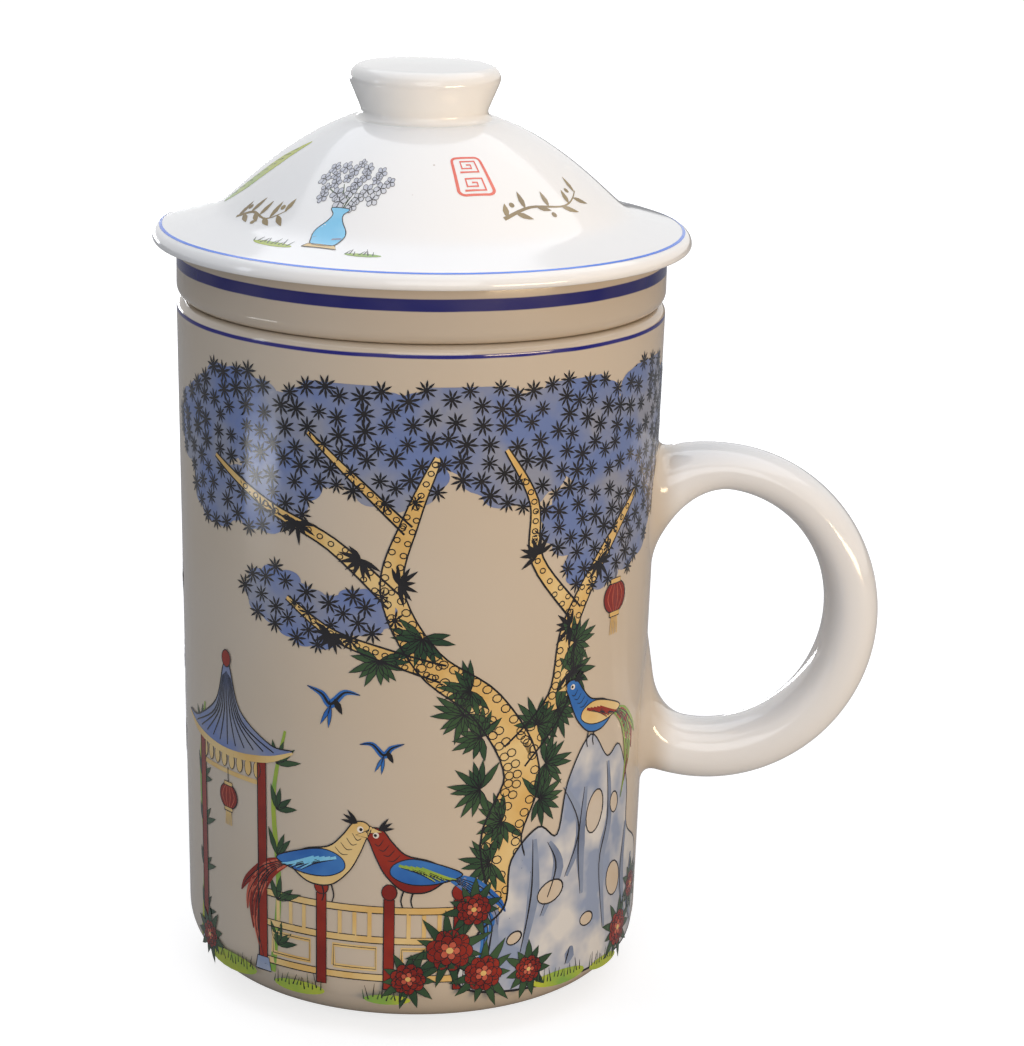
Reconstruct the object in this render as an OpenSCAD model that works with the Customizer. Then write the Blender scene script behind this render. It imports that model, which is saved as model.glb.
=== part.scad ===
// Lidded tea mug with a lift-out infuser, in glazed porcelain.
// The mug stands on its foot ring with its axis on Z and its handle towards +X. The infuser's collar
// sits on the mug's rim, flush with the wall, and the lid's brim sits on the collar.

/* [Mug] */
// Height of the mug from the table to its rim
mug_h = 118; // [110:1:135]
// Outer radius of the wall at the rim, which the infuser's collar matches
rim_r = 41; // [39:0.5:44]
// Outer radius that the straight wall would reach at the table
base_r = 38.6; // [37.6:0.2:40]
// Thickness of the wall
mug_wall = 3.8; // [3.4:0.1:4.4]
// Thickness of the floor
mug_floor = 5; // [4:0.5:7]
// Radius of the rounded edge between wall and base
belly_round = 11; // [9:0.5:12]
// Radius of the rim's outer edge
rim_round = 1.6; // [1:0.1:1.8]

/* [Foot] */
// Outer radius of the foot ring
foot_r = 25.5; // [22:0.5:25.5]
// Width of the foot ring
foot_w = 3.5; // [2.5:0.5:5]
// Height that the foot ring lifts the base
foot_h = 1; // [0.8:0.1:1.6]
// Depth of the recess inside the foot ring
recess_h = 2; // [1.2:0.2:2.6]

/* [Handle] */
// Height of the handle ring's centre
handle_z = 63.7; // [58:0.5:68]
// Distance from the wall to the handle ring's centre
handle_gap = 10.5; // [9:0.5:12]
// Radius of the finger loop
loop_r = 21; // [19:0.5:22]
// Thickness of the handle, from the loop outwards
handle_t = 8; // [6.5:0.5:9]
// Width of the handle across the hand
handle_w = 13; // [11:0.5:15]
// How far each root closes in on the finger loop
root_fill = 7.5; // [6:0.5:8]
// How much wider each root is than the handle
root_spread = 5; // [3:0.5:7]
// How far each root rises past the ring's outside
root_rise = 1; // [0.5:0.5:1.5]

/* [Infuser] */
// Height of the collar between the mug's rim and the lid
collar_h = 10; // [8:0.5:12]
// Radius of the collar's lower edge
collar_round = 2.4; // [1.6:0.1:2.6]
// Height of the spigot that centres the collar in the mug
spigot_h = 6; // [4:0.5:8]
// Height of the infuser's cup below the mug's rim
cup_h = 62; // [55:1:70]
// How much the cup narrows towards its base
cup_taper = 2; // [1.5:0.1:2.4]
// Thickness of the cup's wall
cup_wall = 2.8; // [2.4:0.1:3]
// Thickness of the cup's base
cup_floor = 3; // [2.5:0.1:4]
// Radius of the cup's lower edge
cup_round = 5; // [4:0.5:6]
// Diameter of the strainer holes
hole_d = 2.6; // [2:0.1:3]
// Distance between the rings of holes in the base
hole_pitch = 6.4; // [5.6:0.1:7]
// Holes in each row round the wall
wall_holes = 16; // [12:1:20]
// Rows of holes round the wall
wall_rows = 2; // [1:1:3]

/* [Lid] */
// Outer radius of the brim
brim_r = 45; // [43.5:0.5:48]
// Thickness of the brim
brim_t = 4.5; // [4:0.1:5.5]
// Radius of the brim's lower edge
brim_under = 1.6; // [1.2:0.1:1.8]
// Slope of the dome's side, in degrees
dome_slope = 37.6; // [30:0.2:42]
// Width of the round shoulder between the crown and the side
shoulder_w = 7.5; // [5:0.5:9]
// Radius at which the dome meets the brim
crease_r = 33.8; // [32:0.2:36]
// Fall of the brim from the crease to its edge, in degrees
brim_slope = 14; // [8:1:18]
// Thickness of the dome's wall
lid_wall = 4.4; // [3.6:0.2:5]
// Depth of the flange that centres the lid in the collar
flange_h = 6; // [4:0.5:8]
// Thickness of the flange
flange_t = 3.2; // [2.6:0.2:4]

/* [Knob] */
// Radius of the knob's neck
neck_r = 10.6; // [9:0.2:12]
// Radius of the knob where it is widest
grip_r = 12.6; // [12:0.1:14]
// Height of the knob above the dome
knob_h = 9.3; // [8.5:0.1:13]
// Radius of the knob's top edge
grip_round = 2.1; // [1.6:0.1:2.6]
// Height of the crown on the knob's top
crown_h = 0.5; // [0.3:0.1:1]
// Radius of the fillet where the neck meets the dome
neck_fillet = 1.3; // [0.8:0.1:1.6]

/* [Fits] */
// Gap between the cup and the mug's wall at the mouth
cup_gap = 1.8; // [1.4:0.1:2.4]
// Clearance round the infuser's spigot in the mug's mouth
spigot_gap = 0.5; // [0.4:0.1:0.8]
// Clearance round the lid's flange in the collar
flange_gap = 0.6; // [0.4:0.1:1]

/* [Hidden] */

porcelain = "#F2F0EA";
porcelain_shade = "#E6E3DB";
glaze_round = 0.8;          // edges where the glaze softens a corner
turned = 128;               // steps round a turned piece
handle_steps = 44;          // stations along the handle
section_steps = 20;         // points round the handle's section
section_power = 0.86;       // under 1 squares the oval section a little
upper_root = [82, 134];     // angles on the ring between which a root grows
lower_root = [100, 150];
root_end = 148;             // angle at which the sweep stops inside the mug's wall
crease_soft = 2;            // half the width over which the glaze softens the crease
dome_steps = 8;             // points along each curve of the dome

lean = atan((rim_r - base_r) / mug_h);
wall_rise = (rim_r - base_r) / mug_h;
belly_z = foot_h + belly_round;
floor_z = foot_h + mug_floor;
hollow_round = belly_round - mug_wall;
mouth_r = rim_r - mug_wall / cos(lean);

seat_z = mug_h;
spigot_r = mouth_r - wall_rise * spigot_h - spigot_gap;
cup_r = rim_r - mug_wall - cup_gap;
cup_z = seat_z - cup_h;
cup_base_r = cup_r - cup_taper;
cup_mouth_r = cup_r - cup_wall;
hollow_cup_round = cup_round - cup_wall;

lid_z = seat_z + collar_h;
brim_over = brim_t - brim_under;
brim_centre = [brim_r - brim_over, lid_z + brim_under];
brim_edge = brim_centre + brim_over * [sin(brim_slope), cos(brim_slope)];
crease_z = brim_edge[1] + (brim_edge[0] - crease_r) * tan(brim_slope);
dome_flat_r = neck_r + neck_fillet + 0.6;
shoulder_r = dome_flat_r + shoulder_w;
dome_z = crease_z + (crease_r - dome_flat_r - shoulder_w / 2) * tan(dome_slope);
flange_r = cup_mouth_r - flange_gap;

handle_x = wall_r(handle_z) + handle_gap;

// Radius of the mug's outer wall, and of its hollow, at height z
function wall_r(z) = base_r + wall_rise * z;
function hollow_r(z) = wall_r(z) - mug_wall / cos(lean);

// Radius of the cup's outside at height z
function cup_side_r(z) = cup_base_r + cup_taper * (z - cup_z) / (cup_h - spigot_h);

// Slow start, slow end, from 0 to 1
function ease(t) = let (u = min(max(t, 0), 1)) u * u * (3 - 2 * u);

// Height of the lid's outside at radius r: flat crown, round shoulder, straight side and brim, with
// the slopes of side and brim running into each other at the crease
function dome_at(r) =
    r < dome_flat_r ? dome_z :
    r < shoulder_r ? dome_z - tan(dome_slope) * pow(r - dome_flat_r, 2) / (2 * shoulder_w) :
    let (past = r - crease_r)
    past < -crease_soft ? crease_z - past * tan(dome_slope) :
    past > crease_soft ? crease_z - past * tan(brim_slope) :
    crease_z - past * (tan(dome_slope) + tan(brim_slope)) / 2
        + (tan(dome_slope) - tan(brim_slope)) * (pow(past, 2) + pow(crease_soft, 2)) / (4 * crease_soft);

// Points on an arc, from angle a to angle b
function arc(centre, r, a, b, steps = 6) =
    [for (i = [0:steps]) let (t = a + (b - a) * i / steps) centre + r * [cos(t), sin(t)]];

// Outside of the mug, from the foot's outer edge to the rim
function mug_outline() = concat(
    [[foot_r, foot_h]],
    arc([wall_r(belly_z) - belly_round / cos(lean), belly_z], belly_round, -90, -lean, 10),
    arc([wall_r(mug_h - rim_round) - rim_round / cos(lean), mug_h - rim_round], rim_round, -lean, 90)
);

// Inside of the mug, from the rim to the floor
function mug_hollow() = let (corner_z = floor_z + hollow_round) concat(
    arc([hollow_r(mug_h - glaze_round) + glaze_round, mug_h - glaze_round], glaze_round, 90, 180),
    arc([hollow_r(corner_z) - hollow_round, corner_z], hollow_round, 0, -90, 8),
    [[0, floor_z]]
);

// Foot ring and the recess inside it, from the axis outwards
function mug_foot() = let (edge = foot_h / 2) concat(
    [[0, recess_h], [foot_r - foot_w - glaze_round, recess_h]],
    arc([foot_r - foot_w + edge, edge], edge, 180, 270, 4),
    arc([foot_r - edge, edge], edge, -90, 0, 4)
);

module turn(outline) {
    rotate_extrude($fn = turned) polygon(outline);
}

// ---- mug ----

module mug_body() {
    color(porcelain) turn(concat(mug_foot(), mug_outline(), mug_hollow()));
}

// Growth of the root at an angle on the ring, 0 on the free part and 1 inside the wall
function root_at(angle) = let (span = angle > 0 ? upper_root : lower_root)
    ease((abs(angle) - span[0]) / (span[1] - span[0]));

// One cross-section of the handle: an oval that thickens towards the loop and widens at a root
function handle_section(angle) =
    let (grown = root_at(angle),
         inner = loop_r - root_fill * grown,
         outer = loop_r + handle_t + root_rise * grown,
         half_t = (outer - inner) / 2,
         half_w = (handle_w + root_spread * grown) / 2)
    [for (i = [0:section_steps - 1])
        let (t = 360 * i / section_steps,
             across = sign(cos(t)) * pow(abs(cos(t)), section_power),
             along = sign(sin(t)) * pow(abs(sin(t)), section_power),
             r = inner + half_t * (1 + across))
        [handle_x + r * cos(angle), half_w * along, handle_z + r * sin(angle)]];

module handle_ring() {
    angles = [for (i = [0:handle_steps]) root_end * (1 - 2 * i / handle_steps)];
    points = [for (a = angles) each handle_section(a)];
    n = section_steps;
    last = handle_steps * n;
    sides = [for (i = [0:handle_steps - 1], j = [0:n - 1])
        let (k = (j + 1) % n) each [
            [i * n + j, (i + 1) * n + j, i * n + k],
            [i * n + k, (i + 1) * n + j, (i + 1) * n + k]]];
    polyhedron(
        points = points,
        faces = concat([[for (j = [0:n - 1]) j]], sides, [[for (j = [n - 1:-1:0]) last + j]])
    );
}

// The ring ends on the mug's own wall, so the two meet face to face
module mug_handle() {
    color(porcelain_shade) difference() {
        handle_ring();
        turn(concat([[0, foot_h]], mug_outline(), [[0, mug_h]]));
    }
}

// ---- infuser ----

// Outside of the infuser: cup, spigot, seat and collar
function infuser_outline() = concat(
    [[0, cup_z]],
    arc([cup_side_r(cup_z + cup_round) - cup_round, cup_z + cup_round], cup_round, -90, 0),
    [[cup_r, seat_z - spigot_h], [spigot_r - glaze_round, seat_z - spigot_h],
     [spigot_r, seat_z - spigot_h + glaze_round], [spigot_r, seat_z]],
    arc([rim_r - collar_round, seat_z + collar_round], collar_round, -90, 0),
    arc([rim_r - glaze_round, lid_z - glaze_round], glaze_round, 0, 90, 4)
);

// Inside of the infuser, from the mouth to the strainer's base
function infuser_hollow() = let (corner_z = cup_z + cup_floor + hollow_cup_round) concat(
    arc([cup_mouth_r + glaze_round, lid_z - glaze_round], glaze_round, 90, 180, 4),
    [[cup_mouth_r, seat_z - spigot_h]],
    arc([cup_side_r(corner_z) - cup_wall - hollow_cup_round, corner_z], hollow_cup_round, 0, -90),
    [[0, cup_z + cup_floor]]
);

// Rings of 1, 6, 12, 18 ... holes, as many as the flat base takes
module base_holes() {
    rings = floor((cup_base_r - cup_round - hole_d) / hole_pitch);
    for (ring = [0:rings]) {
        count = max(1, 6 * ring);
        for (i = [0:count - 1])
            rotate(360 * i / count)
                translate([ring * hole_pitch, 0, cup_z - 1])
                    cylinder(d = hole_d, h = cup_floor + 2, $fn = 32);
    }
}

// Staggered rows of holes round the lower wall
module side_holes() {
    for (row = [1:wall_rows], i = [0:wall_holes - 1])
        rotate(360 * (i + row / 2) / wall_holes)
            translate([cup_base_r - 2 * cup_wall, 0, cup_z + cup_round + hole_pitch * row])
                rotate([0, 90, 0])
                    cylinder(d = hole_d, h = 4 * cup_wall, $fn = 32);
}

module infuser() {
    color(porcelain) difference() {
        turn(concat(infuser_outline(), infuser_hollow()));
        base_holes();
        side_holes();
    }
}

// ---- lid ----

// Points of the lid's outside from radius a to radius b
function dome_run(a, b) = [for (i = [0:dome_steps]) let (r = a + (b - a) * i / dome_steps) [r, dome_at(r)]];

// Outside of the lid, from the crown to the brim's underside
function lid_outline() = concat(
    [[0, dome_z]],
    dome_run(dome_flat_r, shoulder_r),
    dome_run(crease_r - crease_soft, crease_r + crease_soft),
    arc(brim_centre, brim_over, 90 - brim_slope, 0),
    arc([brim_r - brim_under, lid_z + brim_under], brim_under, -15, -90, 5)
);

// Underside of the lid: seat, flange and the hollow that follows the dome
function lid_hollow() =
    let (inner = flange_r - flange_t)
    concat(
        [[flange_r, lid_z]],
        arc([flange_r - glaze_round, lid_z - flange_h + glaze_round], glaze_round, 0, -90, 3),
        arc([inner + glaze_round, lid_z - flange_h + glaze_round], glaze_round, -90, -180, 3),
        [for (i = [0:dome_steps])
            let (r = inner * (1 - i / dome_steps)) [r, dome_at(r + lid_wall / 2) - lid_wall]]
    );

module lid() {
    color(porcelain) turn(concat(lid_outline(), lid_hollow()));
}

// Waist, flaring side and crowned top of the knob, seated on the flat of the dome. The straight side
// touches both the fillet at the neck and the round of the top edge.
module lid_knob() {
    neck_centre = [neck_r + neck_fillet, dome_z + neck_fillet];
    grip_centre = [grip_r - grip_round, dome_z + knob_h - crown_h - grip_round];
    span = grip_centre - neck_centre;
    flare = atan2(span[1], span[0]) - asin((neck_fillet + grip_round) / norm(span));
    color(porcelain_shade) turn(concat(
        [[0, dome_z], [neck_centre[0], dome_z]],
        arc(neck_centre, neck_fillet, -105, flare - 270, 5),
        arc(grip_centre, grip_round, flare - 90, 90, 9),
        [[grip_centre[0] * 0.5, dome_z + knob_h - crown_h / 4], [0, dome_z + knob_h]]
    ));
}

mug_body();
mug_handle();
infuser();
lid();
lid_knob();
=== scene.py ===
# %% [markdown]
# # A porcelain tea mug with a lift-out infuser and a loose lid
# The mug is cast and turned porcelain in three loose pieces: a straight mug with a ring handle, an
# infuser whose collar sits flush on the rim, and a domed lid with a knob. All of it is white body
# under one glossy clear glaze, with painted lines and a printed garden picture fired on top.
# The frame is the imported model. It could be dressed in place, but its curves are cut into flat
# bands that a gloss glaze would show, so each piece is turned again here, finely, to the same
# outer sizes, with the softer crease, edge and loop that the hand gives them.

# %% The frame
import math
import random

import bmesh
import bpy
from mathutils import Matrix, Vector


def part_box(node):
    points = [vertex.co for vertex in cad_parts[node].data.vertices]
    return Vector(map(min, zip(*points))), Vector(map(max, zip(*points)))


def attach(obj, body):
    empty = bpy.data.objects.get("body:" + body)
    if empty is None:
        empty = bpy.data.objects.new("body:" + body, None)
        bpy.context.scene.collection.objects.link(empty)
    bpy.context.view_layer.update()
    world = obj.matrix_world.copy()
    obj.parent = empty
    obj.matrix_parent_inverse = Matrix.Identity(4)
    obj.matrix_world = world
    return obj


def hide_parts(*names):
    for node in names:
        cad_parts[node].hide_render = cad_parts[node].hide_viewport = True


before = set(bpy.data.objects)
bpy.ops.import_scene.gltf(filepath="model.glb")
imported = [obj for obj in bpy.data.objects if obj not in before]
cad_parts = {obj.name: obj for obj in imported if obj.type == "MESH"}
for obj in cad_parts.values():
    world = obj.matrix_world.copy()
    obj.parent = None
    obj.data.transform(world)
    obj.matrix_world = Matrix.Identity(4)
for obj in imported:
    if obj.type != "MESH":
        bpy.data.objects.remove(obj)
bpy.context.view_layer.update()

MM = 0.001

# %% [markdown]
# ## Camera
# The mug is seen from a little above at arm's length, as on a table in front of a sitting person.
# A long lens keeps its sides near parallel. The camera comes first, since every later choice of
# detail depends on how large a millimetre looks.

# %% The camera
CAMERA_PLACE = Vector((0.0, -573.3, 231.4)) * MM
CAMERA_YAW = 0.028       # radians to the right of the mug's axis
CAMERA_PITCH = 0.260     # radians down
CAMERA_ROLL = 0.023
PICTURE_HEIGHT = 1046
FOCAL_PIXELS = 3470.7
SENSOR_MM = 36.0


def aim_camera():
    forward = Vector((
        math.sin(CAMERA_YAW) * math.cos(CAMERA_PITCH),
        math.cos(CAMERA_YAW) * math.cos(CAMERA_PITCH),
        -math.sin(CAMERA_PITCH),
    ))
    level = forward.cross(Vector((0, 0, 1))).normalized()
    above = level.cross(forward)
    side = math.cos(CAMERA_ROLL) * level + math.sin(CAMERA_ROLL) * above
    up = math.cos(CAMERA_ROLL) * above - math.sin(CAMERA_ROLL) * level
    data = bpy.data.cameras.new("camera")
    data.sensor_width = SENSOR_MM
    data.lens = FOCAL_PIXELS * SENSOR_MM / PICTURE_HEIGHT
    data.clip_start = 0.01
    camera = bpy.data.objects.new("camera", data)
    bpy.context.scene.collection.objects.link(camera)
    for column, axis in enumerate((side, up, -forward)):
        for row in range(3):
            camera.matrix_world[row][column] = axis[row]
    camera.location = CAMERA_PLACE
    bpy.context.scene.camera = camera
    return camera


camera = aim_camera()
print(f"lens {camera.data.lens:.1f} mm, {CAMERA_PLACE.length:.3f} m from the foot")

# %% [markdown]
# ## Small tools
# One function turns a written colour into the linear one that a shader wants. One adds a node with
# its settings and feeds its inputs, for shader and geometry trees alike. The short ones after it
# name the nodes that come back often: arithmetic, a range, noise, one colour laid over another.

# %% Colours and nodes


def colour(code):
    """A #RRGGBB code as linear RGBA."""
    parts = [int(code[i:i + 2], 16) / 255 for i in (1, 3, 5)]
    return [p / 12.92 if p <= 0.04045 else ((p + 0.055) / 1.055) ** 2.4 for p in parts] + [1.0]


def feed(tree, node, sockets):
    """Gives a node's inputs their values or sources. A node as a source means its first output."""
    for key, value in sockets.items():
        if isinstance(value, bpy.types.Node):
            value = value.outputs[0]
        if isinstance(value, bpy.types.NodeSocket):
            tree.links.new(value, node.inputs[key])
        else:
            node.inputs[key].default_value = value


def add(tree, kind, sockets=None, **settings):
    """A new node: settings are its properties, and sockets is what its inputs are fed."""
    node = tree.nodes.new(kind)
    for key, value in settings.items():
        setattr(node, key, value)
    feed(tree, node, sockets or {})
    return node


def calc(tree, operation, *values):
    """Arithmetic on values and sources."""
    return add(tree, "ShaderNodeMath", dict(enumerate(values)), operation=operation)


def map_range(tree, value, start, end, low=0.0, high=1.0, kind="LINEAR"):
    """Takes start to low and end to high."""
    sockets = {"Value": value, "From Min": start, "From Max": end, "To Min": low, "To Max": high}
    return add(tree, "ShaderNodeMapRange", sockets, interpolation_type=kind)


def noise(tree, place, size, detail=2.0):
    """Clouds of about the given size in mm. Returns their strength."""
    sockets = {"Vector": place, "Scale": 1 / (size * MM), "Detail": detail}
    return add(tree, "ShaderNodeTexNoise", sockets).outputs["Fac"]


def laid_over(tree, base, share, code):
    """A written colour over a base colour, by a share. Returns the mixed colour."""
    base = colour(base) if isinstance(base, str) else base
    sockets = {"Factor": share, "A": base, "B": colour(code)}
    return add(tree, "ShaderNodeMix", sockets, data_type="RGBA").outputs["Result"]


def new_material(name):
    """A material, its tree, its shader, and the place on the piece that its textures go by."""
    material = bpy.data.materials.new(name)
    material.use_nodes = True
    tree = material.node_tree
    place = add(tree, "ShaderNodeTexCoord").outputs["Object"]
    return material, tree, tree.nodes["Principled BSDF"], place


# %% [markdown]
# A geometry tree is given a mesh and a few named inputs. It runs once, and the result is kept as a
# plain mesh.

# %% Geometry trees and finished pieces


def new_tree(name, **inputs):
    """A geometry tree with a geometry input and output, and the named inputs of the given types."""
    tree = bpy.data.node_groups.new(name, "GeometryNodeTree")
    tree.interface.new_socket("Geometry", in_out="INPUT", socket_type="NodeSocketGeometry")
    for label, kind in inputs.items():
        tree.interface.new_socket(label, in_out="INPUT", socket_type="NodeSocket" + kind)
    tree.interface.new_socket("Geometry", in_out="OUTPUT", socket_type="NodeSocketGeometry")
    return tree, tree.nodes.new("NodeGroupInput").outputs


def end_tree(tree, geometry, material):
    """The last nodes of every tree: real geometry, shaded smooth, with its material."""
    real = add(tree, "GeometryNodeRealizeInstances", {"Geometry": geometry})
    smooth = add(tree, "GeometryNodeSetShadeSmooth", {"Geometry": real})
    painted = add(tree, "GeometryNodeSetMaterial", {"Geometry": smooth, "Material": material})
    add(tree, "NodeGroupOutput", {"Geometry": painted})


def new_object(name, data):
    piece = bpy.data.objects.new(name, data)
    bpy.context.scene.collection.objects.link(piece)
    return piece


def run_tree(name, mesh, tree, **values):
    """Runs a tree on a mesh and returns an object that holds the result as a plain mesh."""
    piece = new_object(name, mesh)
    modifier = piece.modifiers.new("shape", "NODES")
    modifier.node_group = tree
    for item in tree.interface.items_tree:
        if item.item_type == "SOCKET" and item.in_out == "INPUT" and item.name in values:
            modifier[item.identifier] = values[item.name]
    bpy.context.view_layer.update()
    evaluated = piece.evaluated_get(bpy.context.evaluated_depsgraph_get())
    result = bpy.data.meshes.new_from_object(evaluated)
    piece.modifiers.remove(modifier)
    piece.data = result
    result.name = name
    return piece


def hand_over(piece, body, slot, *nodes):
    """Puts a finished piece on its body, and in the place of the CAD nodes that it stands for."""
    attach(piece, body)
    if nodes:
        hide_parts(*nodes)
    print(f"{piece.name}: {len(piece.data.polygons)} faces on {body}")


# %% [markdown]
# ## Glaze
# Glazed porcelain is a white vitrified body under a clear glass coat about 0.2 mm thick, fired
# together. To the eye that is a smooth dielectric with sharp highlights (IOR about 1.5), a faint
# long waviness where the coat flowed, a finer orange peel, and rare brown iron specks in the body.
# Painted stripes lie under the same gloss, so they are part of the glaze's own colour, placed by
# height and radius on the piece, with the slight unevenness of a brush held to a turning wheel.

# %% What lies in and under the clear glaze
GLAZE_IOR = 1.52
GLAZE_ROUGHNESS = 0.09
ROUGHER, SMOOTHER = 0.03, 0.02   # how far the roughness strays either way
DRIFT_MM = 30.0          # size of the clouds in which the glaze turns warmer
WAVES = (16.0, 0.5, 0.12)        # slow waves: length in mm, strength, height in mm
PEEL = (2.4, 0.25, 0.006)        # orange peel, likewise
SPECK_MM = 11.0          # mean distance between iron specks
SPECK_EDGE = (0.012, 0.022)      # a speck's core and rim, as shares of that distance
SPECK_SHARE = 0.45
SPECK_BROWN = "#8A6A4A"
BISCUIT = "#DDD2BE"      # bare porcelain, duller than the glaze by the next value
BISCUIT_DULL = 0.6
BARE_BLUR = 0.05         # how softly the glaze ends, in mm
SWAY_MM = 9.0            # a painted line sways over about this length
SWAY = 0.16              # and by this much
LINE_BLUR_MM = 0.08      # how far its edge bleeds
LINE_THIN = 0.94         # its strength where the paint is thinnest
NOISE_SPAN = (0.3, 0.7)  # nearly all of the noise lies between these


def stripe(tree, place, across, base, low, high, least_radius, code):
    """Lays a painted stripe on the base colour between two heights, outside a radius, in mm."""
    wander = noise(tree, place, SWAY_MM, detail=1.0)
    height = calc(tree, "MULTIPLY_ADD", wander, SWAY * MM, across["z"])
    offset = calc(tree, "SUBTRACT", height, (low + high + SWAY) / 2 * MM)
    half = (high - low) / 2
    inside = map_range(tree, calc(tree, "ABSOLUTE", offset),
                       (half + LINE_BLUR_MM) * MM, (half - LINE_BLUR_MM) * MM)
    outside = calc(tree, "GREATER_THAN", across["r"], least_radius * MM)
    mask = calc(tree, "MULTIPLY", inside, outside)
    pooled = map_range(tree, wander, *NOISE_SPAN, LINE_THIN, 1.0)
    return laid_over(tree, base, calc(tree, "MULTIPLY", mask, pooled), code)


def relief(tree, place, size, strength, height, under=None):
    """A bump of a size and height in mm, over the one under it."""
    sockets = {"Height": noise(tree, place, size), "Strength": strength, "Distance": height * MM}
    if under:
        sockets["Normal"] = under
    return add(tree, "ShaderNodeBump", sockets)


# %% The glaze as a material


def glaze(name, code, warm_code, stripes=(), bare_below=None, root=None):
    """Porcelain of a colour that drifts towards a warmer one, with its painted stripes.

    Below the height bare_below it is unglazed. A root is a colour and two radii: the piece has that
    colour inside the first and loses it towards the second.
    """
    material, tree, shader, place = new_material(name)
    flat = add(tree, "ShaderNodeVectorMath", {0: place, 1: (1, 1, 0)}, operation="MULTIPLY")
    radius = add(tree, "ShaderNodeVectorMath", {0: flat}, operation="LENGTH")
    upright = add(tree, "ShaderNodeSeparateXYZ", {0: place}).outputs["Z"]
    across = {"z": upright, "r": radius.outputs["Value"]}

    drift = noise(tree, place, DRIFT_MM)
    cells = add(tree, "ShaderNodeTexVoronoi", {"Vector": place, "Scale": 1 / (SPECK_MM * MM)})
    speck = map_range(tree, cells.outputs["Distance"], *SPECK_EDGE, SPECK_SHARE, 0.0)
    surface = laid_over(tree, laid_over(tree, code, drift, warm_code), speck, SPECK_BROWN)
    if root:
        root_code, full_r, gone_r = root
        near = map_range(tree, across["r"], gone_r * MM, full_r * MM, kind="SMOOTHSTEP")
        surface = laid_over(tree, surface, near, root_code)
    for low, high, least_radius, paint in stripes:
        surface = stripe(tree, place, across, surface, low, high, least_radius, paint)

    rough = map_range(tree, drift, *NOISE_SPAN, GLAZE_ROUGHNESS - SMOOTHER, GLAZE_ROUGHNESS + ROUGHER)
    if bare_below is not None:
        bare = map_range(tree, across["z"], (bare_below + BARE_BLUR) * MM, (bare_below - BARE_BLUR) * MM)
        surface = laid_over(tree, surface, bare, BISCUIT)
        rough = calc(tree, "MULTIPLY_ADD", bare, BISCUIT_DULL, rough)

    normal = relief(tree, place, *PEEL, under=relief(tree, place, *WAVES))
    feed(tree, shader, {"Base Color": surface, "Roughness": rough, "Normal": normal, "IOR": GLAZE_IOR})
    return material


# %% [markdown]
# ## Sizes
# The turned pieces take their main sizes from the frame, so they stay where the frame is. The rest
# are the maker's own: walls, roundings and clearances, in millimetres.

# %% Sizes in millimetres
RIM_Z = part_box("mug_body")[1].z / MM
COLLAR_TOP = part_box("infuser")[1].z / MM
CUP_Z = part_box("infuser")[0].z / MM
RIM_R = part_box("infuser")[1].x / MM
BRIM_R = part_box("lid")[1].x / MM
KNOB_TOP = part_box("lid_knob")[1].z / MM
DOME_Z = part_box("lid_knob")[0].z / MM
HANDLE_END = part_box("mug_handle")[1].x / MM

BASE_R = 38.6
WALL = 3.8
FLOOR = 5.0
BELLY = 11.0
RIM_ROUND = 1.6
FOOT_R = 25.5
FOOT_W = 3.5
FOOT_H = 1.0
RECESS = 2.0
SOFT = 0.8               # edges where the glaze softens a corner

RISE = (RIM_R - BASE_R) / RIM_Z
LEAN = math.degrees(math.atan(RISE))
print(f"mug {RIM_Z:.1f} high, {2 * RIM_R:.1f} across; lid {2 * BRIM_R:.1f} across; top {KNOB_TOP:.1f}")


def wall_r(z):
    """Outer radius of the mug's wall at a height."""
    return BASE_R + RISE * z


def arc(centre, radius, start, end, steps=14):
    """Points on an arc between two angles in degrees."""
    turns = [math.radians(start + (end - start) * i / steps) for i in range(steps + 1)]
    return [(centre[0] + radius * math.cos(t), centre[1] + radius * math.sin(t)) for t in turns]


def closer(points, step=3.0):
    """The same outline with no side longer than a step, so that gloss and booleans run evenly."""
    out = [points[0]]
    for a, b in zip(points, points[1:]):
        count = max(1, math.ceil(math.dist(a, b) / step))
        out += [(a[0] + (b[0] - a[0]) * i / count, a[1] + (b[1] - a[1]) * i / count)
                for i in range(1, count + 1)]
    return out


# %% [markdown]
# ## The wheel
# Mug, infuser, lid and knob are all turned: a template cuts one outline while the clay spins. The
# same idea works here as a geometry tree. It takes the outline as a line of points, makes a grid
# with one column for each step of the turn, and puts every grid point where the outline's point
# is, turned by its column. Screw or Spin would do it too, but the tree keeps its steps as an input.

# %% The wheel as a geometry tree
WELD_MM = 0.0005         # points closer than this become one: the seam, and the ends on the axis


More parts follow.
